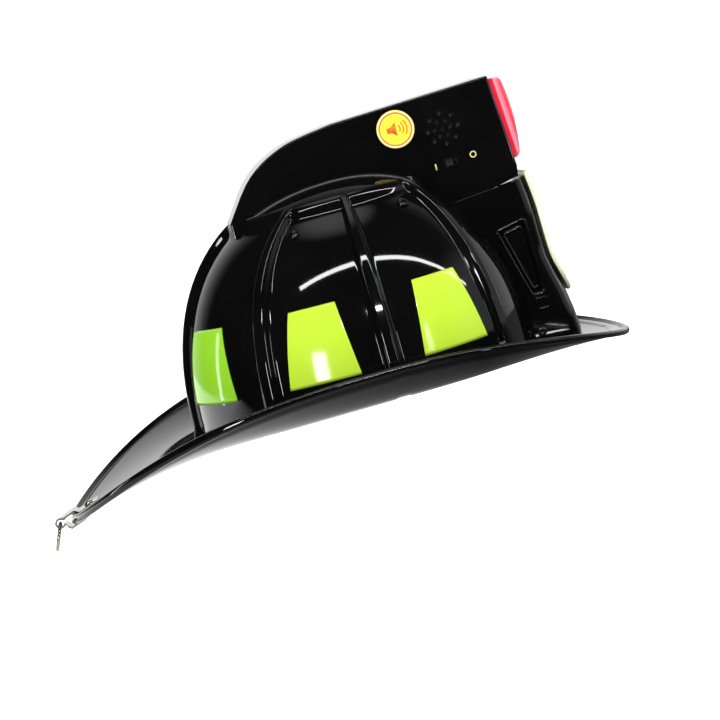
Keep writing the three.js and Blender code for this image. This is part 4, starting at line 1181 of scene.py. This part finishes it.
def make_world():
    """Even light for matt surfaces, a studio for gloss, and white for the camera.

    The studio is bright on the object's left, overhead and in front: STUDIO_SIDES has each
    direction, where its glow starts and is full, and its level.
    """
    world = bpy.data.worlds.new("studio")
    bpy.context.scene.world = world
    world.use_nodes = True
    world.node_tree.nodes.clear()
    place = node(world, "ShaderNodeTexCoord")
    brighter = None
    for direction, low, high, level in STUDIO_SIDES:
        toward = node(world, "ShaderNodeVectorMath", operation="DOT_PRODUCT")
        toward.inputs[1].default_value = direction
        glow = map_range(world, low, high, DIM, level, interpolation_type="SMOOTHSTEP")
        link(world, place, "Generated", toward, 0)
        link(world, toward, "Value", glow, "Value")
        if brighter:
            most = node(world, "ShaderNodeMath", operation="MAXIMUM")
            link(world, brighter, 0, most, 0)
            link(world, glow, "Result", most, 1)
            glow = most
        brighter = glow
    studio = node(world, "ShaderNodeBackground")
    even = node(world, "ShaderNodeBackground", Color=(1, 1, 1, 1), Strength=0.85)
    white = node(world, "ShaderNodeBackground", Color=(1, 1, 1, 1))
    path = node(world, "ShaderNodeLightPath")
    matt, seen = node(world, "ShaderNodeMixShader"), node(world, "ShaderNodeMixShader")
    link(world, brighter, 0, studio, "Color")
    link(world, path, "Is Diffuse Ray", matt, 0)
    link(world, studio, 0, matt, 1)
    link(world, even, 0, matt, 2)
    link(world, path, "Is Camera Ray", seen, 0)
    link(world, matt, 0, seen, 1)
    link(world, white, 0, seen, 2)
    link(world, seen, 0, node(world, "ShaderNodeOutputWorld"), "Surface")


make_world()


def make_floor():
    """A pale floor, clear from below. Its reflection is bright on the left and at the tail."""
    h, z = FLOOR_HALF, FLOOR_Z
    mesh = bpy.data.meshes.new("floor")
    mesh.from_pydata([(-h, -h, z), (h, -h, z), (h, h, z), (-h, h, z)], [], [(0, 1, 2, 3)])
    look = new_material("floor_white", (0.9, 0.9, 0.9), 0.9, Specular_IOR_Level=0.1,
                        Emission_Color=(1, 1, 1, 1))
    path = node(look, "ShaderNodeLightPath")
    seen = node(look, "ShaderNodeMath", operation="MULTIPLY")
    seen.inputs[1].default_value = 0.9
    place = node(look, "ShaderNodeNewGeometry")
    parts = node(look, "ShaderNodeSeparateXYZ")
    leftward = map_range(look, -0.25, 0.2, DIM, 2.0)
    forward = map_range(look, -0.12, 0.06, 1.0, 0.1)
    glow = node(look, "ShaderNodeMath", operation="MULTIPLY")
    shine = node(look, "ShaderNodeEmission")
    mixed, sided = node(look, "ShaderNodeMixShader"), node(look, "ShaderNodeMixShader")
    link(look, path, "Is Camera Ray", seen, 0)
    link(look, seen, 0, shader_of(look), "Emission Strength")
    link(look, place, "Position", parts, 0)
    link(look, parts, "Y", leftward, "Value")
    link(look, parts, "X", forward, "Value")
    link(look, leftward, "Result", glow, 0)
    link(look, forward, "Result", glow, 1)
    link(look, glow, 0, shine, "Strength")
    link(look, path, "Is Glossy Ray", mixed, 0)
    link(look, shader_of(look), 0, mixed, 1)
    link(look, shine, 0, mixed, 2)
    link(look, place, "Backfacing", sided, 0)
    link(look, mixed, 0, sided, 1)
    link(look, node(look, "ShaderNodeBsdfTransparent"), 0, sided, 2)
    link(look, sided, 0, look.node_tree.nodes["Material Output"], "Surface")
    mesh.materials.append(look)
    placed("floor", mesh)


make_floor()


def softbox(name, place, size, power, target=(0, 0, 0.05), along=None):
    """A rectangular light at a place in metres, facing the target."""
    data = bpy.data.lights.new(name, "AREA")
    data.shape = "RECTANGLE"
    data.size, data.size_y = size
    data.energy = power
    lamp = placed(name, data)
    away = (Vector(place) - Vector(target)).normalized()
    level = Vector((0, 0, 1)).cross(away).normalized()
    side = Vector(along).normalized() if along else level
    side = (side - away * side.dot(away)).normalized()
    rows = Matrix((side, away.cross(side), away)).transposed().to_4x4()
    lamp.matrix_world = Matrix.Translation(Vector(place)) @ rows
    return lamp


def beside(azimuth, height, distance=2.0):
    """A place round the object, the azimuth in degrees from the front."""
    a = math.radians(azimuth)
    return (distance * math.cos(a), distance * math.sin(a), height)


softbox("tube_high", (2.0, -1.2, 1.3), (6.0, 0.08), 34, (2.0, 0, 0.05), along=(1, 0, 0))
softbox("tube_low", (0.35, -3.5, 1.35), (0.9, 0.12), 22, (0.35, 0, 0.05), along=(1, 0, 0))
softbox("box_left", beside(-121, 0.16), (0.24, 0.42), 9)
softbox("box_right", beside(-58, 0.2), (0.14, 0.3), 1.2)
softbox("edge_strip", beside(164, 0.1), (0.1, 1.1), 3)
overhead = softbox("overhead", (0.1, 0.5, 1.8), (1.6, 1.0), 10)
overhead.visible_glossy = False
